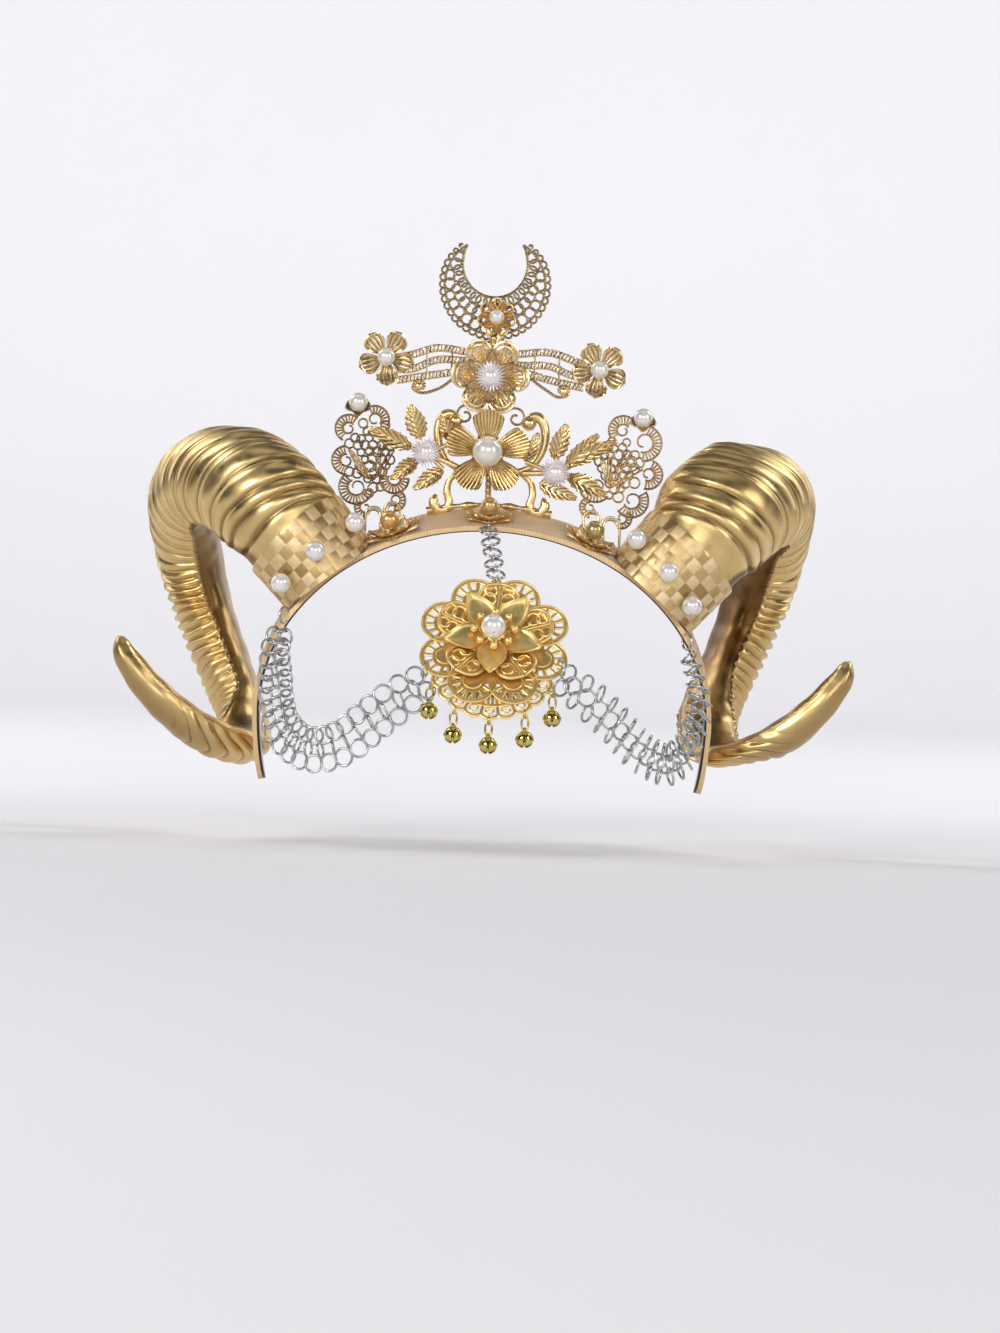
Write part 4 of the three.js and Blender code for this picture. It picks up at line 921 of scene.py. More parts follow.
def wire_petal(hub, reach, half, cup, wire, veins):
    """A petal of a wire loop with vein wires inside it."""
    def lifted(x, share):
        return np.stack([x, hub + (reach - hub) * share, cup * share**2 + 0.1 * cup * (x / half) ** 2], -1)

    turn = np.linspace(0.0, 2 * np.pi, 44, endpoint=False)
    rise = (1.0 - np.cos(turn)) / 2
    outline = lifted(half * np.sin(turn) * (0.12 + rise) ** 0.35 * 1.1, rise)
    shapes = [flat_tube(outline, wire, 7, closed=True)]
    for lean in np.linspace(-0.5, 0.5, veins):
        run = np.linspace(0.04, 0.93 - 0.3 * abs(lean), 12)
        shapes.append(flat_tube(lifted(lean * half * 1.5 * run, run), wire * 0.8, 6))
    return shapes


def boss(radius, height):
    """A low round seat behind a pearl."""
    edge = [(radius * math.cos(t), height * math.sin(t)) for t in np.linspace(0.0, np.pi / 2, 8)]
    return turned_solid([(0.0, 0.0), (radius, 0.0)] + edge[1:-1] + [(0.2, height), (0.0, height)], 28)


def ringed(count, start, shapes):
    """Shapes repeated round their own z."""
    return [spun(shape, start + 360.0 * k / count) for k in range(count) for shape in shapes]


def pinned(shapes, pearl_node, flower_node, sink):
    """Shapes stood upright round a pearl, sunk from the back of the flower that they replace."""
    x, _, z = node_middle(pearl_node)[0]
    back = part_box(flower_node)[1].y / MM
    return [placed(shape, (x, back - sink, z)) for shape in shapes]


orange_gold = gold_finish(
    "orange_filigree_gold", (0.92, 0.68, 0.34, 1), (0.78, 0.50, 0.18, 1), (0.44, 0.20, 0.04, 1), 0.3, 240.0
)
bloom = ringed(7, 0.0, wire_petal(2.0, 7.6, 2.3, 1.0, 0.42, 2))
bloom += ringed(7, 25.7, [petal(1.5, 6.4, 2.0, pointed, 1.6, ribs=3, rib_height=0.2)])
bloom.append(boss(3.4, 1.6))
bloom = pinned(bloom, "crescent_pearl", "crescent_flower", 0.5)
make_piece("filigree_crescent_flower", bloom, orange_gold, "crescent_flower")

# Wing bar
# The real piece is three flat coiled ribbons of wire each side, soldered to a hub on the stem and tied
# together, with a plain rope below that ends in a curl. A small flower is pinned at each end.

WING_Y = 10.2
COIL_HALF_WIDTH = 1.45
COIL_HALF_DEPTH = 0.55
COIL_PITCH = 1.5
COIL_STEPS = 12  # in one turn
COILS = [
    # x and z from the hub outward, top to bottom, left and then right
    [[0, 69.6], [-11.1, 69.4], [-23, 70.5], [-33.9, 67.2], [-40, 66]],
    [[0, 66.2], [-10.9, 65.7], [-22.9, 65.7], [-32.8, 61.7], [-40, 61.4]],
    [[0, 61.6], [-10.8, 61.6], [-23.6, 59.7], [-39.1, 56.9]],
    [[0, 69.6], [10.1, 69.2], [22, 70.1], [33.1, 66.8], [40, 64.4]],
    [[0, 66.2], [10.2, 64.6], [22.2, 64.6], [31.5, 61.2], [39, 60.4]],
    [[0, 61.6], [10.3, 61.8], [22.4, 59.1], [36.3, 56.3]],
]
ROPES = [
    [
        [-8, 60.5], [-15.3, 58.7], [-21.6, 54.3], [-28.8, 52.2],
        [-32.4, 54], [-30.6, 57.2], [-27.6, 55.6], [-28.4, 53.6],
    ],
    [[8, 61], [13.2, 60.1], [20.7, 55.3], [26.3, 52.3], [30.2, 53.6], [29.4, 56.8], [26.6, 56], [26.6, 54]],
]
ROPE_BEADS = [(-30.0, 54.9), (28.2, 54.8)]
TIES = [(-17.0, 60.0, 70.4), (-27.0, 58.8, 70.0), (16.4, 60.0, 70.4), (26.2, 58.0, 69.6)]  # x, low and high
HUB_WIRE = [[-9, 66.5], [-5, 71.5], [0, 74.5], [5, 71.5], [9, 66.5], [6, 61], [0, 59], [-6, 61], [-9, 66.5]]
WING_FLOWERS = {"left": 40.0, "right": 28.0}  # degrees that each flower is turned


def flat_coil(points, y):
    """A ribbon of wire wound flat round two rails."""
    rail = smooth_line(in_plane(points, y), 240)
    gone = run_length(rail)
    turns = round(gone[-1] / COIL_PITCH)
    line = sampled(np.linspace(0.0, gone[-1], COIL_STEPS * turns + 1), gone, rail)
    across = np.cross(unit(np.gradient(line, axis=0)), (0.0, -1.0, 0.0))
    turn = 2 * np.pi * np.arange(len(line)) / COIL_STEPS
    bend = (COIL_HALF_WIDTH * np.cos(turn))[:, None] * across
    dip = (COIL_HALF_DEPTH * np.sin(turn))[:, None] * np.array([0.0, 1.0, 0.0])
    shade = 0.75 * (np.sin(turn) > 0.3)
    shapes = [tube(line + bend + dip, 0.3, 5, face=(1.0, 0.0, 0.3), recess=shade)]
    for edge in (-1.0, 1.0):
        shapes.append(tube((line + edge * (COIL_HALF_WIDTH - 0.2) * across)[::4], 0.36, 6))
    return shapes


def rounded(u):
    """Width of a petal that swells to a round end."""
    opening = 0.34 + 0.66 * np.sin(np.pi / 2 * np.clip(u / 0.62, 0.0, 1.0)) ** 1.3
    ending = np.sqrt(np.clip(1.0 - (np.clip(u - 0.62, 0.0, 0.38) / 0.38) ** 2.6, 0.0009, 1.0))
    return opening * ending


wings = []
for coil in COILS:
    wings += flat_coil(coil, WING_Y)
for rope in ROPES:
    wings.append(beaded(smooth_line(in_plane(rope, WING_Y - 0.3), 160), 0.85, 1.3))
for bead_x, bead_z in ROPE_BEADS:
    wings.append(placed(boss(1.9, 1.7), (bead_x, WING_Y - 0.2, bead_z)))
for tie_x, low, high in TIES:
    wings.append(beaded(in_plane([[tie_x, low], [tie_x, high]], WING_Y - 0.9), 0.5, 1.0))
wings.append(beaded(smooth_line(in_plane(HUB_WIRE, WING_Y), 120), 0.7, 1.2))
for lean in (-1.0, 1.0):
    ribbon = smooth_line(in_plane([[lean * -3.4, 78.5], [0, 73], [lean * 4.4, 67]], WING_Y - 0.4), 40)
    wings.append(tube(ribbon, 1.3, 10, flat=0.4))
make_piece("wire_wing_bar", wings, pale_gold, "wing_bar")

for side, start in WING_FLOWERS.items():
    cupped = petal(
        2.4, 11.4, 4.3, rounded, 2.6, ribs=5, rib_height=0.3, rounding=0.08, grid=(24, 41), rim=0.4
    )
    bloom = ringed(5, start, [cupped]) + [boss(3.6, 1.8)]
    bloom = pinned(bloom, f"wing_pearl_{side}", f"wing_flower_{side}", 0.4)
    make_piece(f"cupped_wing_flower_{side}", bloom, pale_gold, f"wing_flower_{side}")

# Rosette
# The real piece is two layers of cupped wire petals with veins, over a beaded tail that runs down the
# stem. It is wired on over the hub of the wings, with a spiky burst bead in its cup.

ROSETTE_PETALS = 6
ROSETTE_TURN = 28.0
ROSETTE_CURLS = [(-10.8, 43.6, 60.0, 480.0), (9.6, 43.0, 120.0, -300.0)]  # x, z, first and last angle
ROSETTE_PATINA_AND_SHADE = 0.45  # how much of the patina and painted shade colour the rosette shows
BURST_SPIKES = 24
BURST_DOME = 3.9
BURST_TIERS = [(1.5, 0.15, 6.3), (2.6, 0.55, 5.9)]  # height, slope and reach of the spikes


def burst_bead():
    """A bead moulded as a dome in a ring of short clear spikes, seated on its own z."""
    dome = ball_profile(BURST_DOME, 1.75, 0.0, 16, 2.0)
    shapes = [turned_solid([(0.0, 0.0), (2.5, 0.0), (2.9, 0.9)] + dome, 32)]
    share = np.array([0.0, 0.5, 0.85, 1.0])
    for tier, (lift, rise, length) in enumerate(BURST_TIERS):
        for k in range(BURST_SPIKES):
            turn = 2 * np.pi * (k + 0.5 * tier) / BURST_SPIKES
            way = np.append(np.array([math.cos(turn), math.sin(turn)]) * math.cos(rise), math.sin(rise))
            run = way * (3.0 + (length - 3.0) * share)[:, None] + np.array([0.0, 0.0, lift])
            shapes.append(flat_tube(run, [0.5, 0.42, 0.26, 0.1], 6))
    return shapes


rosette = ringed(ROSETTE_PETALS, ROSETTE_TURN, wire_petal(3.0, 15.4, 5.2, 2.6, 0.64, 5))
rosette += ringed(ROSETTE_PETALS, ROSETTE_TURN, wire_petal(3.6, 13.6, 3.5, 2.2, 0.6, 0))
cupped = petal(3.0, 14.6, 4.8, rounded, 1.9, ribs=5, rib_height=0.15, thick=0.4)
rosette += ringed(ROSETTE_PETALS, ROSETTE_TURN, [cupped])
sharp_petal = petal(2.6, 11.0, 3.0, pointed, 3.4, ribs=5, rib_height=0.2)
rosette += ringed(ROSETTE_PETALS, ROSETTE_TURN + 30.0, [sharp_petal])
rosette.append(boss(4.4, 1.6))
rosette = [(points, faces, ROSETTE_PATINA_AND_SHADE * recess) for points, faces, recess in rosette]
rosette = pinned(rosette, "rosette_pearl", "rosette", 0.6)
for curl_x, curl_z, first, last in ROSETTE_CURLS:
    turn = np.radians(np.linspace(first, last, 50))
    reach = np.linspace(4.2, 0.9, 50)
    curl = np.stack([curl_x + reach * np.cos(turn), curl_z + reach * np.sin(turn)], -1)
    rosette.append(beaded(in_plane(curl, CROWN_Y - 1.6), 0.7, 1.15))
tail = in_plane([[node_middle("rosette_pearl")[0][0], 46.5], [STEM_X, 41.0]], CROWN_Y - 2.2)
rosette.append(beaded(smooth_line(tail, 20), 1.3, 1.9, sides=10))
make_piece("wire_rosette", rosette, pale_gold, "rosette")
burst_nacre = pearl_finish("pink_burst_nacre", (0.90, 0.83, 0.84, 1), (0.80, 0.70, 0.72, 1))
for node in ("rosette_pearl", "spray_pearl_left", "spray_pearl_right"):
    make_piece(f"burst_{node}", pinned(burst_bead(), node, node, 0.0), burst_nacre, node)

# Main flower
# The real piece is stamped brass in satin antique gold: five shell petals with close radial ribs and
# scalloped rims, overlapping like a fan round one large pearl in a ring of small sepals.

SHELLS = 5
SHELL_RIBS = 9
SHELL_RISE = (0.5, 1.4)  # the shells lie low and high by turns
SEPALS = 12


def fanned(u):
    """Width of a petal that opens like a shell."""
    return 0.3 + 0.7 * np.sin(np.pi / 2 * np.clip(u, 0.0, 1.0)) ** 1.1


def moved(shape, step):
    """The shape moved by x, y and z."""
    points, faces, recess = shape
    return points + np.asarray(step, float), faces, recess


shell = petal(
    3.6, 17.2, 6.2, fanned, 2.4, ribs=SHELL_RIBS, rib_height=0.32, rounding=0.24, thick=0.7, grid=(18, 89)
)
bloom = [spun(moved(shell, (0.0, 0.0, SHELL_RISE[k % 2])), 360.0 / SHELLS * k) for k in range(SHELLS)]
bloom.append(boss(6.6, 2.0))
bloom += ringed(SEPALS, 0.0, [petal(4.6, 7.6, 1.1, pointed, 1.4, thick=0.5, grid=(8, 7))])
bloom = pinned(bloom, "main_pearl", "main_flower", 0.4)
make_piece("shell_main_flower", bloom, cast_gold, "main_flower")

# Leaf sprays
# Each real spray is cast in one: serrated leaves with a midrib and side veins, spread from a small hub
# that an arm ties to the frame. A burst bead is pinned on the hub.

FRONT_Y = 6.2
LEAF_TEETH = 6
SPRAYS = {
    # the x and z of the hub and of the arm's far end, then leaves by the x and z of base and tip and width
    "left": ((-26, 28), (-13, 22.5), [
        (-31.7, 29.6, -49, 36.8, 7.5), (-28.2, 33.4, -33.2, 46.5, 9), (-29.4, 25.1, -39.2, 17.2, 7),
        (-19, 21.6, -30.2, 13.4, 7), (-14.5, 32.5, -21, 42.5, 7),
    ]),
    "right": ((26, 21.5), (13, 21), [
        (25.3, 26.9, 29.9, 40.9, 8), (31.2, 25.4, 49.9, 34.9, 7), (29.8, 23.5, 42.5, 37.2, 7),
        (30.8, 20.6, 46.5, 13.4, 8), (20, 16.6, 34.6, 11.6, 7), (14, 25.5, 18.7, 37, 6),
    ]),
}


def leaf(base, tip, half, y):
    """A serrated leaf from base to tip in an upright plane, creased along the middle and veined."""
    base_spot, tip_spot = in_plane([base, tip], y)
    way = tip_spot - base_spot
    length = np.linalg.norm(way)
    u = np.linspace(0.0, 1.0, 55)[:, None]
    v = np.linspace(-1.0, 1.0, 19)[None]
    tooth = (u * LEAF_TEETH) % 1.0
    width = pointed(u) * (1.0 - 0.26 * tooth * (u > 0.06) * (u < 0.94))
    vein = np.cos(2 * np.pi * (u * LEAF_TEETH - 1.6 * np.abs(v)))
    across = half * width * v
    up = length * (u + 0.03 * np.abs(v))
    arch = 0.16 * length * np.sin(np.pi * u * 0.9)
    crease = 0.35 * half * (1 - np.abs(v)) * pointed(u)
    out = arch - crease + 0.22 * vein * np.abs(v) ** 0.5 + 0.5 * hump(v, 0.0, 0.09) * (1 - u)
    depth = np.clip(0.55 - 0.55 * vein, 0.0, 1.0) * 0.75 * np.ones_like(across)
    blade = slab(np.stack(np.broadcast_arrays(across, up, out), -1), 0.6, depth)
    return placed(blade, base_spot, np.cross(way, (0.0, -1.0, 0.0)), way)


for side, (hub, arm, leaves) in SPRAYS.items():
    spray = [placed(boss(3.6, 1.6), (hub[0], FRONT_Y - 0.1, hub[1]))]
    spray.append(tube(smooth_line(in_plane([arm, hub], FRONT_Y - 1.0), 12), 1.2, 10, flat=0.7))
    for base_x, base_z, tip_x, tip_z, width in leaves:
        spray.append(leaf((base_x, base_z), (tip_x, tip_z), width / 2, FRONT_Y - 0.9))
        spray.append(tube(in_plane([hub, (base_x, base_z)], FRONT_Y - 1.0), 0.9, 8))
    make_piece(f"cast_leaf_spray_{side}", spray, cast_gold, f"leaf_spray_{side}")

# Laces
# Each real lace is a plate of beaded wire: C-scrolls with rungs along its edge, a net of small rings in
# the middle and plain arches below. It stands on the headband at the end of the tiara and carries a pearl
# on top, in a cup of three sepals.

LACE_Y = 10.3
LACE_WIRE = 0.62
NET_SPACING = 3.2
SCROLLS = {
    # x, z, radius, first and last angle, and how far out the inner wire runs as a share of the radius
    "left": [
        (-47.2, 40.6, 5.7, -25, 115, 0.45), (-57.5, 37.0, 5.4, 50, 245, 0.42),
        (-58.1, 24.1, 5.7, 95, 265, 0.42),
        (-53.8, 13.4, 6.8, 130, 352, 0.48), (-38.6, 17.2, 5.8, 160, 365, 0.42),
        (-38.0, 8.6, 4.2, -95, 70, 0.5),
        (-49.8, 5.4, 4.2, 140, 275, 0.5),
    ],
    "right": [
        (52.9, 39.9, 5.8, 45, 215, 0.42), (61.3, 35.0, 7.2, -95, 70, 0.52),
        (63.4, 22.4, 5.8, -105, 75, 0.42),
        (57.2, 11.7, 6.7, -145, 35, 0.48), (42.6, 17.5, 6.8, 175, 320, 0.5), (40.5, 8.5, 4.0, 100, 270, 0.5),
        (53.4, 4.4, 4.0, -110, 40, 0.5),
    ],
}
ARCHES = {
    # x, z and radius
    "left": [(-46.3, 2.2, 3.4), (-39.0, 4.6, 3.1)],
    "right": [(49.1, 1.0, 3.7), (41.5, 3.7, 3.4)],
}
NETS = {"left": (-49.0, 27.0, 9.5, 16.0), "right": (53.0, 25.5, 9.5, 15.0)}  # middle and half sizes
STRANDS = {
    "left": [((-44.9, 17.4), (-43.9, 31.0)), ((-46.0, 17.4), (-53.4, 20.2)), ((-43.9, 17.4), (-39.6, 29.0))],
    "right": [((51.6, 17.2), (61.0, 25.0)), ((49.2, 17.6), (48.1, 29.6)), ((50.2, 17.2), (56.0, 32.0))],
}
LACE_FINISHES = {"left": shaded_lace_gold, "right": pale_gold}  # the left one is a darker copy of the same gold, as painted shade
LACE_LEAVES = {"left": ((-48.4, 16.6), (-57.0, 28.2)), "right": ((49.0, 16.8), (44.4, 28.4))}  # base and tip
CUP_SEPALS = (118.0, 180.0, 242.0)  # degrees round the pearl
CUP_DEPTH = 2.8


def ladder_scroll(x, z, radius, start, end, share, y):
    """A C of beaded wire with rungs to an inner wire that curls up on itself."""
    shapes = [beaded(arc_points(x, z, radius, start, end, y, 40), LACE_WIRE, 1.0)]
    angles = np.linspace(start - 12.0, end + 200.0, 60)
    reach = radius * np.interp(angles, [end, end + 200.0], [share, 0.18])
    turn = np.radians(angles)
    coil = np.stack([x + reach * np.cos(turn), z + reach * np.sin(turn)], -1)
    shapes.append(beaded(in_plane(coil, y), LACE_WIRE * 0.86, 0.95))
    for rung in np.radians(np.arange(start + 6.0, end, 95.0 / radius)):
        way = np.array([math.cos(rung), math.sin(rung)])
        ends = np.array([x, z]) + way * radius * np.array([[share], [1.0]])
        shapes.append(tube(in_plane(ends, y), 0.42, 5))
    return shapes


def legged_arch(x, z, radius, y):
    """A plain wire arch with straight legs down to the cloth."""
    left, right = (band_top(x + side * radius, y, 0.0)[2] for side in (-1.0, 1.0))
    curve = arc_points(x, z, radius, 180.0, 0.0, y, 24)
    path = np.vstack([[x - radius, y, left], curve, [x + radius, y, right]])
    return [tube(path, 0.55, 8), tube(arc_points(x, z, radius - 1.1, 180.0, 0.0, y, 24), 0.42, 7)]


def wire_net(x, z, half_wide, half_tall, scrolls, y):
    """Small beaded rings that touch, over an oval, left out where the scrolls are."""
    shapes = []
    rng = np.random.default_rng(5)
    for row, row_z in enumerate(np.arange(z - half_tall, z + half_tall, NET_SPACING * 0.87)):
        for row_x in np.arange(x - half_wide + row % 2 * NET_SPACING / 2, x + half_wide, NET_SPACING):
            ring_x, ring_z = (row_x, row_z) + rng.uniform(-0.45, 0.45, 2)
            size = NET_SPACING * rng.uniform(0.46, 0.68)
            inside = math.hypot((ring_x - x) / half_wide, (ring_z - z) / half_tall) < 1.0
            free = all(math.hypot(ring_x - s[0], ring_z - s[1]) > s[2] * 0.8 for s in scrolls)
            if inside and free:
                shapes.append(wire_ring(ring_x, ring_z, size, y + rng.uniform(-0.3, 0.3), 0.52, 0.95))
    return shapes


def double_strand(start, end, y):
    """Two beaded wires side by side with a slight bow."""
    start, end = np.asarray(start, float), np.asarray(end, float)
    way = unit(end - start)
    across = np.array([-way[1], way[0]])
    run = np.array([start, (start + end) / 2 + across * 0.8, end])
    lines = (smooth_line(in_plane(run + across * edge, y), 24) for edge in (-0.7, 0.7))
    return [beaded(line, 0.55, 1.05) for line in lines]


for side, scrolls in SCROLLS.items():
    lace = wire_net(*NETS[side], scrolls, LACE_Y + 0.2)
    for scroll in scrolls:
        lace += ladder_scroll(*scroll, LACE_Y)
    for arch in ARCHES[side]:
        lace += legged_arch(*arch, LACE_Y)
    for start, end in STRANDS[side]:
        lace += double_strand(start, end, LACE_Y - 0.6)
    lace.append(leaf(*LACE_LEAVES[side], 1.6, LACE_Y - 0.8))
    cup_seat = node_middle(f"lace_pearl_{side}")[0] + np.array([0.0, CUP_DEPTH, 0.0])
    for degrees in CUP_SEPALS:
        lace.append(placed(spun(petal(0.6, 5.5, 2.5, pointed, 3.2), degrees), cup_seat))
    make_piece(f"wire_lace_{side}", lace, LACE_FINISHES[side], f"lace_{side}")

# Base flowers
# The real ones are stamped flowers with pointed petals in two layers, pinned through the headband's
# cloth with a pearly bead each: gold in the middle, orange gold on the left, olive gold on the right.

BASE_FLOWERS = {
    # reach of the petals and the light and deep colours of the bead
    "centre": (10.4, (0.74, 0.52, 0.22, 1), (0.52, 0.32, 0.09, 1)),
    "left": (12.4, (0.80, 0.50, 0.18, 1), (0.58, 0.30, 0.07, 1)),
    "right": (12.0, (0.58, 0.46, 0.20, 1), (0.36, 0.27, 0.08, 1)),
}
BASE_PETALS = 6
BEAD_GLOSS = {"Metallic": 0.55, "Roughness": 0.24, "Coat Weight": 0.7, "Coat Roughness": 0.06}


def base_petal(hub, reach, half, cup):
    """One pointed petal of a base flower."""
    return [petal(hub, reach, half, pointed, cup, ribs=5, rib_height=0.2, grid=(14, 25))]


rose_gold = gold_finish(
    "rose_gold", (0.97, 0.79, 0.50, 1), (0.86, 0.64, 0.35, 1), (0.58, 0.36, 0.15, 1), 0.36, 240.0
)
for side, (reach, light, deep) in BASE_FLOWERS.items():
    middle, radius = node_middle(f"base_bead_{side}")
    sweep = math.degrees(math.asin(middle[0] / (BAND_HALF_SPAN + 8.0)))
    out = band_frames(np.array([sweep]))[2][0]
    right = unit(np.array([1.0, 0.0, 0.0]) - out * out[0])
    up = np.cross(out, right)
    bloom = ringed(BASE_PETALS, 0.0, base_petal(1.6, reach, 4.0, 0.8))
    bloom += ringed(BASE_PETALS, 30.0, base_petal(1.4, reach * 0.74, 3.4, 2.4))
    bloom.append(boss(3.4, 1.4))
    bloom = [placed(shape, middle - out * (radius + 1.5), right, up) for shape in bloom]
    make_piece(f"pointed_base_flower_{side}", bloom, rose_gold, f"base_flower_{side}")
    bead_gloss, bead_tree, bead_shader = cloudy_finish(f"bead_gloss_{side}", deep, light, 300.0, BEAD_GLOSS)
    roughen(bead_tree, bead_shader, noise(bead_tree, 900.0), 0.04, 0.0001)
    bead = placed(drilled_pearl(radius), middle, right, up)
    make_piece(f"pearly_base_bead_{side}", [bead], bead_gloss, f"base_bead_{side}")

# Pendant
# The real piece is stacked stampings in bright gold: a pierced plate of eight fan lobes, a cupped
# filigree flower, smooth pointed petals with ball stamens round a pearl, and a pierced skirt behind.

PENDANT_CENTRE = np.array([4.0, -55.5, -47.5])
PENDANT_UP = np.array([0.0, 0.545, 0.839])
LOBES = 8
LOBE_CENTRE = 20.6
LOBE_RADIUS = 8.8
LOBE_DISC = 4.9  # radius of the plain middle of a lobe
LOBE_SPOKES = 7
PLATE_SHEET = (7.0, 19.4)  # inner and outer radius of the plain sheet behind the flower
BAIL = (1.7, 2.9, 26.6)  # half width, half height and place of the ring at the top
FLOWER_RISE = 2.0  # the flower sits a little above the plate's middle
PENDANT_PETALS = 5  # in each of the two layers
STAMENS = 8
STAMEN_BALL = 1.6
STAMEN_REACH = 7.6
STAMEN_HEIGHT = 5.2
SKIRT_DROP = np.array([0.0, -10.0, 0.0])
SKIRT_INNER = 12.0
SKIRT_MIDDLE = 18.6
SKIRT_OUTER = 22.6
SKIRT_SCALLOP = 1.7
SKIRT_RING = 1.5
SKIRT_SPAN = (192.0, 344.0)
SKIRT_CELLS = 9
SKIRT_BACK = 0.9  # how far the skirt lies behind the plate


def flat_arc(y, radius, start, end, z, count=40, x=0.0):
    """Points along an arc in the pendant's own plane."""
    turn = np.radians(np.linspace(start, end, count))
    return np.stack([x + radius * np.cos(turn), y + radius * np.sin(turn), np.full(count, z)], -1)


def heading(degrees):
    """The direction at an angle in the pendant's own plane."""
    return np.array([math.cos(math.radians(degrees)), math.sin(math.radians(degrees)), 0.0])


def lobe():
    """One fan lobe up its own y: a broad rim, an inner arc and slots between spokes."""
    disc_y = LOBE_CENTRE - 0.6
    shapes = [flat_tube(flat_arc(LOBE_CENTRE, LOBE_RADIUS - 0.4, -38, 218, 0.0), 1.05, 10, 0.55)]
    shapes.append(flat_tube(flat_arc(LOBE_CENTRE, LOBE_RADIUS + 0.35, -34, 214, 0.35), 0.4, 8))
    disc = [(0.0, -0.35), (LOBE_DISC, -0.35), (LOBE_DISC + 0.2, 0.0), (LOBE_DISC, 0.35), (0.0, 0.5)]
    points, faces, recess = moved(turned_solid(disc, 36), (0.0, disc_y, 0.0))
    shapes.append((points, faces, recess + 0.25))
    shapes.append(flat_tube(flat_arc(disc_y, LOBE_DISC - 1.4, 0, 180, 0.5), 0.42, 8))
    for angle in np.linspace(4.0, 176.0, LOBE_SPOKES):
        start = heading(angle) * LOBE_DISC * 0.9 + (0, disc_y, 0)
        end = heading(angle) * (LOBE_RADIUS - 0.8) + (0, LOBE_CENTRE, 0)
        shapes.append(flat_tube(smooth_line([start, end], 8), np.linspace(0.7, 0.95, 8), 8, 0.55))
    return shapes


def filigree_petal(hub, reach, half, cup):
    """A cupped petal: a deep gold sheet under a rim, a midrib and curled wires."""
    def over(x, y):
        u = np.clip((y - hub) / (reach - hub), 0.0, 1.0)
        v = x / np.maximum(half * rounded(u), 0.3)
        return np.stack([x, y, cup * (u**2 + 0.6 * v**2 * u) + 0.45], -1)

    points, faces, recess = petal(hub, reach, half, rounded, cup, thick=0.5)
    # the sheet under the wires is coloured darker all over: patina and painted shade in the hollows behind
    # the wires
    shapes = [(points, faces, np.full_like(recess, 0.6))]
    share = np.linspace(0.0, 1.0, 22)
    climb = hub + (reach - hub) * share
    turn = np.linspace(0.4, 2 * np.pi + 0.4, 22)
    for edge in (-1.0, 1.0):
        shapes.append(flat_tube(over(edge * half * rounded(share), climb), 0.7, 8))
        for u in np.linspace(0.22, 0.84, 4):
            size = 0.42 * half * rounded(u)
            curl_x = edge * size * 1.15 + size * 0.8 * np.cos(turn)
            curl_y = hub + (reach - hub) * u + size * 0.8 * np.sin(turn)
            shapes.append(flat_tube(over(curl_x, curl_y), 0.46, 7))
    shapes.append(flat_tube(over(0 * climb, climb), 0.6, 8))
    return shapes


def on_pendant(shapes, up, out):
    """Shapes in the pendant's own plane, moved up it and out of it."""
    origin = PENDANT_CENTRE + PENDANT_UP * up + np.cross((1.0, 0.0, 0.0), PENDANT_UP) * out
    return [placed(shape, origin, (1.0, 0.0, 0.0), PENDANT_UP) for shape in shapes]


bright_gold = gold_finish(
    "bright_gold", (0.96, 0.745, 0.345, 1), (0.88, 0.62, 0.215, 1), (0.56, 0.28, 0.06, 1), 0.4, 300.0
)
plate = ringed(LOBES, 22.5, lobe())
turn, reach = np.meshgrid(np.linspace(0.0, 2 * np.pi, 97), np.linspace(*PLATE_SHEET, 8), indexing="ij")
plate.append(slab(np.stack([reach * np.cos(turn), reach * np.sin(turn), 0 * turn], -1), 0.8, 0.35))
bail_wide, bail_tall, bail_y = BAIL
bail = flat_arc(0.0, 1.0, 0, 350, 0.0, 36) * np.array([bail_wide, bail_tall, 1.0])
plate.append(flat_tube(bail + np.array([0.0, bail_y, 0.0]), 0.65, 10, closed=True))
plate = on_pendant(plate, 0.0, 0.5)
make_piece("pendant_fan_plate", plate, bright_gold, "pendant_backplate")

bloom = ringed(PENDANT_PETALS, -4.0, filigree_petal(5.0, 22.6, 7.6, 1.6))
smooth_petal = petal(3.0, 19.4, 5.8, pointed, 1.8, thick=0.7, grid=(24, 25), rim=0.3)
bloom += ringed(PENDANT_PETALS, 32.0, [moved(smooth_petal, (0.0, 0.0, 2.2))])
bloom.append(boss(5.6, 4.0))
for k in range(STAMENS):
    spot = STAMEN_REACH * heading(360.0 / STAMENS * k) + (0.0, 0.0, STAMEN_HEIGHT)
    bloom.append(moved(turned_solid(ball_profile(STAMEN_BALL, 0.0, np.pi, 12), 18), spot))
    bloom.append(flat_tube([spot * 0.5, spot], 0.45, 6))
bloom = on_pendant(bloom, FLOWER_RISE, 1.2)
make_piece("pendant_filigree_flower", bloom, bright_gold, "pendant_petals")

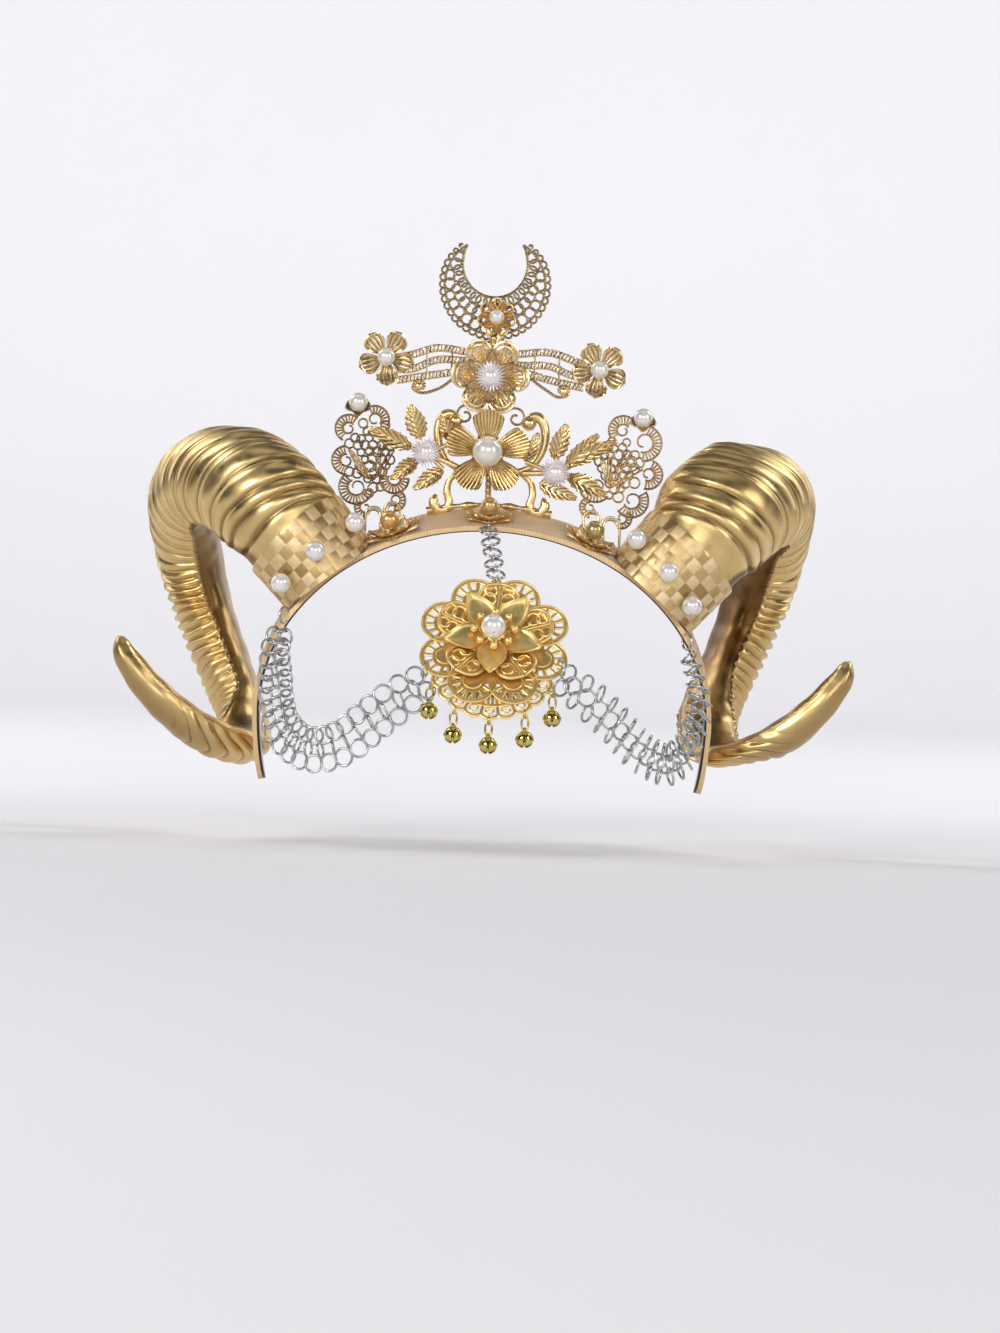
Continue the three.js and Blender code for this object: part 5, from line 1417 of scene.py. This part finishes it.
skirt = [flat_tube(flat_arc(0.0, SKIRT_INNER, *SKIRT_SPAN, 0.0, 60), 1.0, 8, 0.5)]
skirt.append(flat_tube(flat_arc(0.0, SKIRT_MIDDLE, *SKIRT_SPAN, 0.0, 60), 0.9, 8, 0.5))
cell_span = (SKIRT_SPAN[1] - SKIRT_SPAN[0]) / SKIRT_CELLS
skirt_edge = []
for cell in range(SKIRT_CELLS):
    first = SKIRT_SPAN[0] + cell * cell_span
    share = np.linspace(0.0, 1.0, 24)
    scallop = (SKIRT_OUTER + SKIRT_SCALLOP * np.sin(np.pi * share) ** 0.7)[:, None]
    rim = scallop * flat_arc(0.0, 1.0, first, first + cell_span, 0.0, 24)
    skirt.append(flat_tube(rim, 0.85, 8, 0.6))
    skirt_edge.extend(rim)
    ring_x, ring_y, _ = ((SKIRT_MIDDLE + SKIRT_OUTER) / 2 + 0.6) * heading(first + cell_span / 2)
    skirt.append(flat_tube(flat_arc(ring_y, SKIRT_RING, 0, 340, 0.1, 20, ring_x), 0.5, 6, closed=True))
    for share, far in ((0.0, SKIRT_OUTER), (0.33, SKIRT_MIDDLE), (0.67, SKIRT_MIDDLE)):
        way = heading(first + share * cell_span)
        skirt.append(flat_tube(smooth_line([way * SKIRT_INNER, way * far], 8), 0.7, 6, 0.6))
skirt.append((np.array(skirt_edge), [], np.zeros(len(skirt_edge))))
skirt = on_pendant([moved(shape, SKIRT_DROP) for shape in skirt], 0.0, -SKIRT_BACK)
skirt_edge = skirt.pop()[0]
make_piece("pendant_pierced_skirt", skirt, bright_gold, "pendant_skirt")

# Bells
# Each real bell is a thin brass ball pressed from two cups, crossed by slots underneath, with a loose
# pellet inside. A drawn neck takes a long link, and a small ring hangs that from the edge of the skirt.

BELLS = 5
BELL_WALL = 0.35
BELL_PELLET = 1.2
SLOT_HALF = 0.5
BELL_LINK = 5.6
BELL_LINK_HALF = 1.3
BELL_LINK_SINK = 0.6
BELL_RING_SLACK = 0.8
BELL_UP = (0.0, 0.8, -0.6)  # each bell leans so that its crossed slots face forward


def bell_shapes(radius):
    """A bell round its own z, with its middle at the origin: neck and top cup, four gores, and pellet."""
    neck = [(0.0, 2.0), (0.55, 1.9), (0.75, 1.2), (1.15, 0.4), (1.8, -0.35)]
    cup = [(neck_radius, radius + lift) for neck_radius, lift in neck]
    cup += ball_profile(radius, 0.78, np.pi / 2, 14)
    cup += [(radius + 0.16, 0.12), (radius + 0.16, -0.12)]
    cup += ball_profile(radius - BELL_WALL, np.pi / 2, 0.3, 10)
    shapes = [turned_solid(cup + [(0.0, radius * 0.9)], 36)]
    bend = np.linspace(np.pi / 2, np.pi - 0.16, 14)[:, None]
    slit = np.arcsin(np.clip(SLOT_HALF / (radius * np.sin(bend)), 0.0, 0.72)) * smooth_step(bend, 1.75, 1.95)
    for quarter in range(4):
        turn = quarter * np.pi / 2 + slit + (np.pi / 2 - 2 * slit) * np.linspace(0.0, 1.0, 10)[None]
        gore = [np.sin(bend) * np.cos(turn), np.sin(bend) * np.sin(turn), np.cos(bend) * np.ones_like(turn)]
        shapes.append(slab(np.stack(gore, -1) * (radius - BELL_WALL / 2), BELL_WALL))
    shapes.append(turned_solid(ball_profile(BELL_PELLET, 0.0, np.pi, 10, 1.7 - radius), 14))
    return shapes


bell_brass = gold_finish(
    "bell_brass", (0.74, 0.62, 0.22, 1), (0.58, 0.46, 0.12, 1), (0.20, 0.14, 0.03, 1), 0.14, 200.0
)
for k in range(1, BELLS + 1):
    low, high = (np.array(corner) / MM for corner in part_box(f"bell_{k}"))
    radius = (high[0] - low[0]) / 2
    centre = np.array([(low[0] + high[0]) / 2, (low[1] + high[1]) / 2, low[2] + radius])
    bell = [placed(shape, centre, (1.0, 0.0, 0.0), BELL_UP) for shape in bell_shapes(radius)]
    link_foot = centre + np.cross((1.0, 0.0, 0.0), BELL_UP) * (radius + 1.6)
    link_foot = link_foot - np.array([0.0, 0.0, BELL_LINK_SINK])
    link = arc_points(0.0, 0.0, 1.0, 0.0, 350.0, 0.0, 30) * np.array([BELL_LINK_HALF, 1.0, BELL_LINK / 2])
    bell.append(tube(link_foot + np.array([0.0, 0.0, BELL_LINK / 2]) + link, 0.42, 8, True))
    link_top = link_foot + np.array([0.0, 0.0, BELL_LINK])
    hole = skirt_edge[np.argmin(np.linalg.norm(skirt_edge - link_top, axis=1))]
    reach = np.linalg.norm(hole - link_top) / 2 + BELL_RING_SLACK
    up = unit(hole - link_top)
    turns = np.linspace(0.0, 2 * np.pi, 24, endpoint=False)[:, None]
    ring = reach * (np.cos(turns) * up + np.sin(turns) * np.cross(up, (1.0, 0.0, 0.0)))
    bell.append(tube((hole + link_top) / 2 + ring, 0.36, 8, True))
    make_piece(f"slotted_bell_{k}", bell, bell_brass, f"bell_{k}")

# Centre chain
# The real piece is five bright steel rings joined by small upright ones, from a stitch in the front edge
# of the headband to the ring at the top of the pendant.

CHAIN_TOP = np.array([0.0, -12.7, -1.2])
CHAIN_LOW = PENDANT_CENTRE + PENDANT_UP * 29.0
CHAIN_LINKS = 5
CHAIN_WIRE = 0.58
LINK_RADIUS = 3.5
LINK_LEAN = 0.2  # how much flatter each ring lies than the line of the chain
LINK_SWAY = 0.14
JOINER_RADIUS = 1.5
JOINER_WIRE = 0.45


def plain_ring(centre, normal, radius, wire):
    """A ring of round wire by its centre and the direction it faces."""
    normal = unit(normal)
    first = unit(np.cross(normal, (0.31, 0.2, 0.93)))
    second = np.cross(normal, first)
    turn = np.linspace(0.0, 2 * np.pi, 32, endpoint=False)[:, None]
    path = np.asarray(centre) + radius * (np.cos(turn) * first + np.sin(turn) * second)
    return tube(path, wire, 8, True, normal)


steel = gold_finish(
    "bright_steel", (0.62, 0.61, 0.60, 1), (0.40, 0.40, 0.40, 1), (0.1, 0.1, 0.1, 1), 0.22, 200.0
)
chain_run = CHAIN_LOW - CHAIN_TOP
chain_way = unit(chain_run)
chain_side = np.array([1.0, 0.0, 0.0])
chain_front = np.cross(chain_side, chain_way)
links = []
for k in range(CHAIN_LINKS):
    spot = CHAIN_TOP + chain_run * (k + 0.5) / CHAIN_LINKS
    sway = LINK_SWAY if k % 2 else -LINK_SWAY
    facing = chain_front + chain_way * LINK_LEAN + chain_side * sway
    links.append(plain_ring(spot, facing, LINK_RADIUS, CHAIN_WIRE))
for k in range(CHAIN_LINKS + 1):
    spot = CHAIN_TOP + chain_run * k / CHAIN_LINKS
    links.append(plain_ring(spot, chain_side + chain_front * 0.3, JOINER_RADIUS, JOINER_WIRE))
make_piece("linked_centre_chain", links, steel, "centre_chain")

# Drapes
# Each real drape is chain mail: three rows of bright steel rings linked through their neighbours. It is
# hooked to the pendant, swags down and back, and is stitched up to the headband near its end.

MAIL_RADIUS = 3.35
MAIL_WIRE = 0.52
DRAPE_LINES = {
    # x, y and z from the pendant to the band
    "left": [
        [-22, -65.4, -63], [-27.3, -66, -67.3], [-36.3, -65, -74.3], [-43.9, -61, -80.8],
        [-52.6, -55, -87.9],
        [-61.6, -48, -91.4], [-70.3, -40, -90.3], [-77.2, -31, -84.5],
        [-80.6, -25, -75.2], [-82, -20, -63.7],
        [-82.3, -17, -53.2], [-79.6, -14.5, -42],
    ],
    "right": [
        [30, -65.6, -60.6], [33.8, -65.6, -62.6], [40.1, -64.5, -67.6], [46.2, -61.5, -72.5],
        [51.6, -57, -77.6],
        [56.2, -53, -82.6], [61.7, -48.5, -87.7], [68.2, -42, -91.6], [73.7, -37, -92.8], [78.7, -31, -89.3],
        [82.3, -26, -83.1], [84.9, -21, -74.3], [85.7, -18, -65.5], [83.3, -15.5, -55.8], [80.4, -14, -47],
    ],
}
DRAPE_WEAVES = {
    # how far back the axis lies that the rings look away from, how far apart the rows are, the tilts of
    # the outer rows and of the middle row near the pendant and further on, and how far apart the rings
    # of a row are near the pendant, at the bottom and on the way up
    "left": dict(
        axis_y=90.0, row_gap=5.4, outer_tilts=(-20.0, -20.0), middle_tilts=(62.0, 62.0),
        pitches=(7.2, 6.3, 4.7),
    ),
    "right": dict(
        axis_y=31.0, row_gap=4.7, outer_tilts=(44.0, 54.0), middle_tilts=(-14.0, -64.0),
        pitches=(7.2, 5.0, 5.0),
    ),
}


def mail_drape(line, seed, axis_y, row_gap, outer_tilts, middle_tilts, pitches):
    """Rows of mail rings along a line, looking outward."""
    gone = run_length(line)
    pitch = np.interp(gone / gone[-1], [0.15, 0.52, 0.74], pitches)
    rings_before = np.append(0.0, np.cumsum(np.diff(gone) / pitch[1:]))
    rows = [(-row_gap, 0.25, outer_tilts), (0.0, 0.75, middle_tilts), (row_gap, 0.25, outer_tilts)]
    rng = np.random.default_rng(seed)
    shapes = []
    for offset, stagger, tilts in rows:
        for column in range(int(rings_before[-1])):
            place = np.interp(column + stagger, rings_before, gone)
            at, ahead, behind = (sampled(place + step, gone, line) for step in (0.0, 1.5, -1.5))
            share = place / gone[-1]
            along = unit(ahead - behind)
            out = (at - np.array([0.0, axis_y, 0.0])) * np.array([1.0, 1.0, 0.0])
            out = unit(out - along * out.dot(along))
            across = np.cross(along, out)
            narrow = min(1.0, 0.6 + 4.0 * share, 0.45 + 2.4 * (1.0 - share))
            angle = math.radians(np.interp(share, [0.3, 0.5], tilts) + rng.uniform(-9, 9))
            facing = out * math.cos(angle) + along * math.sin(angle) + across * rng.uniform(-0.12, 0.12)
            spot = at + across * offset * narrow + out * rng.uniform(-0.3, 0.3)
            shapes.append(plain_ring(spot, facing, MAIL_RADIUS * rng.uniform(0.97, 1.03), MAIL_WIRE))
    return shapes


for seed, (side, points) in enumerate(DRAPE_LINES.items()):
    line = smooth_line(points, 400)
    mail = mail_drape(line, seed, **DRAPE_WEAVES[side])
    outward = -1.0 if side == "left" else 1.0
    mail.append(plain_ring(line[0] + np.array([0.0, 2.0, 4.0]), (outward, 0.4, 0.2), 3.0, 0.5))
    mail.append(plain_ring(line[-1] + np.array([0.0, 1.6, 2.6]), (outward, 0.6, 0.0), 3.2, 0.5))
    make_piece(f"mail_drape_{side}", mail, steel, f"drape_{side}")

# Studio
# A plain pale sweep of paper, one large soft light to the left of the camera, softer ones to the right,
# above and behind, two pairs that light the paper, and a camera that stands where the photograph was taken.

CAMERA_SPOT = (6.6, -1500.0, -56.8)
CAMERA_ROLL = 2.0
CAMERA_LENS = 101.3
SOFT_LIGHTS = [
    # name, place and aim in metres, width, height, power
    ("key_left", (-0.85, -1.1, 0.42), (0.0, 0.0, 0.0), 0.5, 0.5, 8.6),
    ("fill_right", (1.0, -0.8, 0.35), (0.0, 0.0, 0.0), 0.4, 0.7, 4.2),
    ("top", (0.0, -0.1, 1.0), (0.0, 0.0, 0.0), 0.7, 0.5, 0.7),
    ("front", (0.2, -1.7, 0.4), (0.0, 0.0, 0.0), 1.1, 0.8, 6.6),
    ("rim_left", (-0.8, 0.45, 0.3), (0.0, 0.0, 0.0), 0.3, 0.6, 1.0),
    ("rim_right", (0.8, 0.45, 0.3), (0.0, 0.0, 0.0), 0.3, 0.6, 1.0),
    ("kick_left", (-0.9, 0.35, 0.9), (0.0, 1.1, 0.1), 0.6, 0.6, 5.6),
    ("kick_right", (0.9, 0.35, 0.9), (0.0, 1.1, 0.1), 0.6, 0.6, 5.6),
    ("wall_left", (-0.9, 1.2, 0.9), (0.0, 2.1, 0.0), 0.6, 0.6, 6.6),
    ("wall_right", (0.9, 1.2, 0.9), (0.0, 2.1, 0.0), 0.6, 0.6, 6.6),
]
FLOOR_GAP = 2.0
SWEEP_STEPS = 80
SWEEP_COLUMNS = np.linspace(-7000.0, 7000.0, 9)
SWEEP_CURVE = [(-7000, 0), (1750, 0), (2010, 30), (2190, 150), (2290, 360)]  # y, and height over the floor
SWEEP_TOP = (2330, 2600)


def aimed(spot, target, roll_up):
    """A placement at a spot that looks at a target with a chosen way up."""
    back = unit(np.asarray(spot, float) - np.asarray(target, float))
    right = unit(np.cross(roll_up, back))
    up = np.cross(back, right)
    turn = Matrix(np.stack([right, up, back], 1).tolist()).to_4x4()
    return Matrix.Translation(spot) @ turn


scene = bpy.context.scene
floor_z = cad_box[0].z / MM - FLOOR_GAP
sweep_run = [(0.0, y, floor_z + height) for y, height in SWEEP_CURVE] + [(0.0, *SWEEP_TOP)]
sweep_line = smooth_line(sweep_run, SWEEP_STEPS)
sweep_grid = sweep_line[:, None] + np.stack([SWEEP_COLUMNS, 0 * SWEEP_COLUMNS, 0 * SWEEP_COLUMNS], -1)[None]
sweep_faces = grid_faces(SWEEP_STEPS, len(SWEEP_COLUMNS))
paper = cloudy_finish(
    "studio_paper", (0.89, 0.88, 0.91, 1), (0.91, 0.90, 0.93, 1), 4.0, {"Roughness": 0.9}
)[0]
sweep_mesh = bpy.data.meshes.new("studio_sweep")
sweep_mesh.from_pydata((sweep_grid.reshape(-1, 3) * MM).tolist(), [], sweep_faces.tolist())
sweep_mesh.polygons.foreach_set("use_smooth", np.ones(len(sweep_mesh.polygons), bool))
sweep_mesh.materials.append(paper)
studio_sweep = bpy.data.objects.new("studio_sweep", sweep_mesh)
scene.collection.objects.link(studio_sweep)

world = bpy.data.worlds.new("studio_world")
world.use_nodes = True
world.node_tree.nodes["Background"].inputs["Color"].default_value = (0.92, 0.91, 0.95, 1)
world.node_tree.nodes["Background"].inputs["Strength"].default_value = 0.06
scene.world = world
scene.view_settings.view_transform = "Standard"

for name, place, aim, width, height, power in SOFT_LIGHTS:
    lamp = bpy.data.lights.new(name, "AREA")
    lamp.shape = "RECTANGLE"
    lamp.size = width
    lamp.size_y = height
    lamp.energy = power
    light = bpy.data.objects.new(name, lamp)
    light.matrix_world = aimed(place, aim, (0.0, 0.0, 1.0))
    scene.collection.objects.link(light)

camera_data = bpy.data.cameras.new("camera")
camera_data.lens = CAMERA_LENS
camera_data.clip_end = 20.0
camera = bpy.data.objects.new("camera", camera_data)
camera_spot = np.array(CAMERA_SPOT) * MM
roll = math.radians(CAMERA_ROLL)
camera_up = (-math.sin(roll), 0.0, math.cos(roll))
camera.matrix_world = aimed(camera_spot, camera_spot + np.array([0.0, 1.0, 0.0]), camera_up)
scene.collection.objects.link(camera)
scene.camera = camera
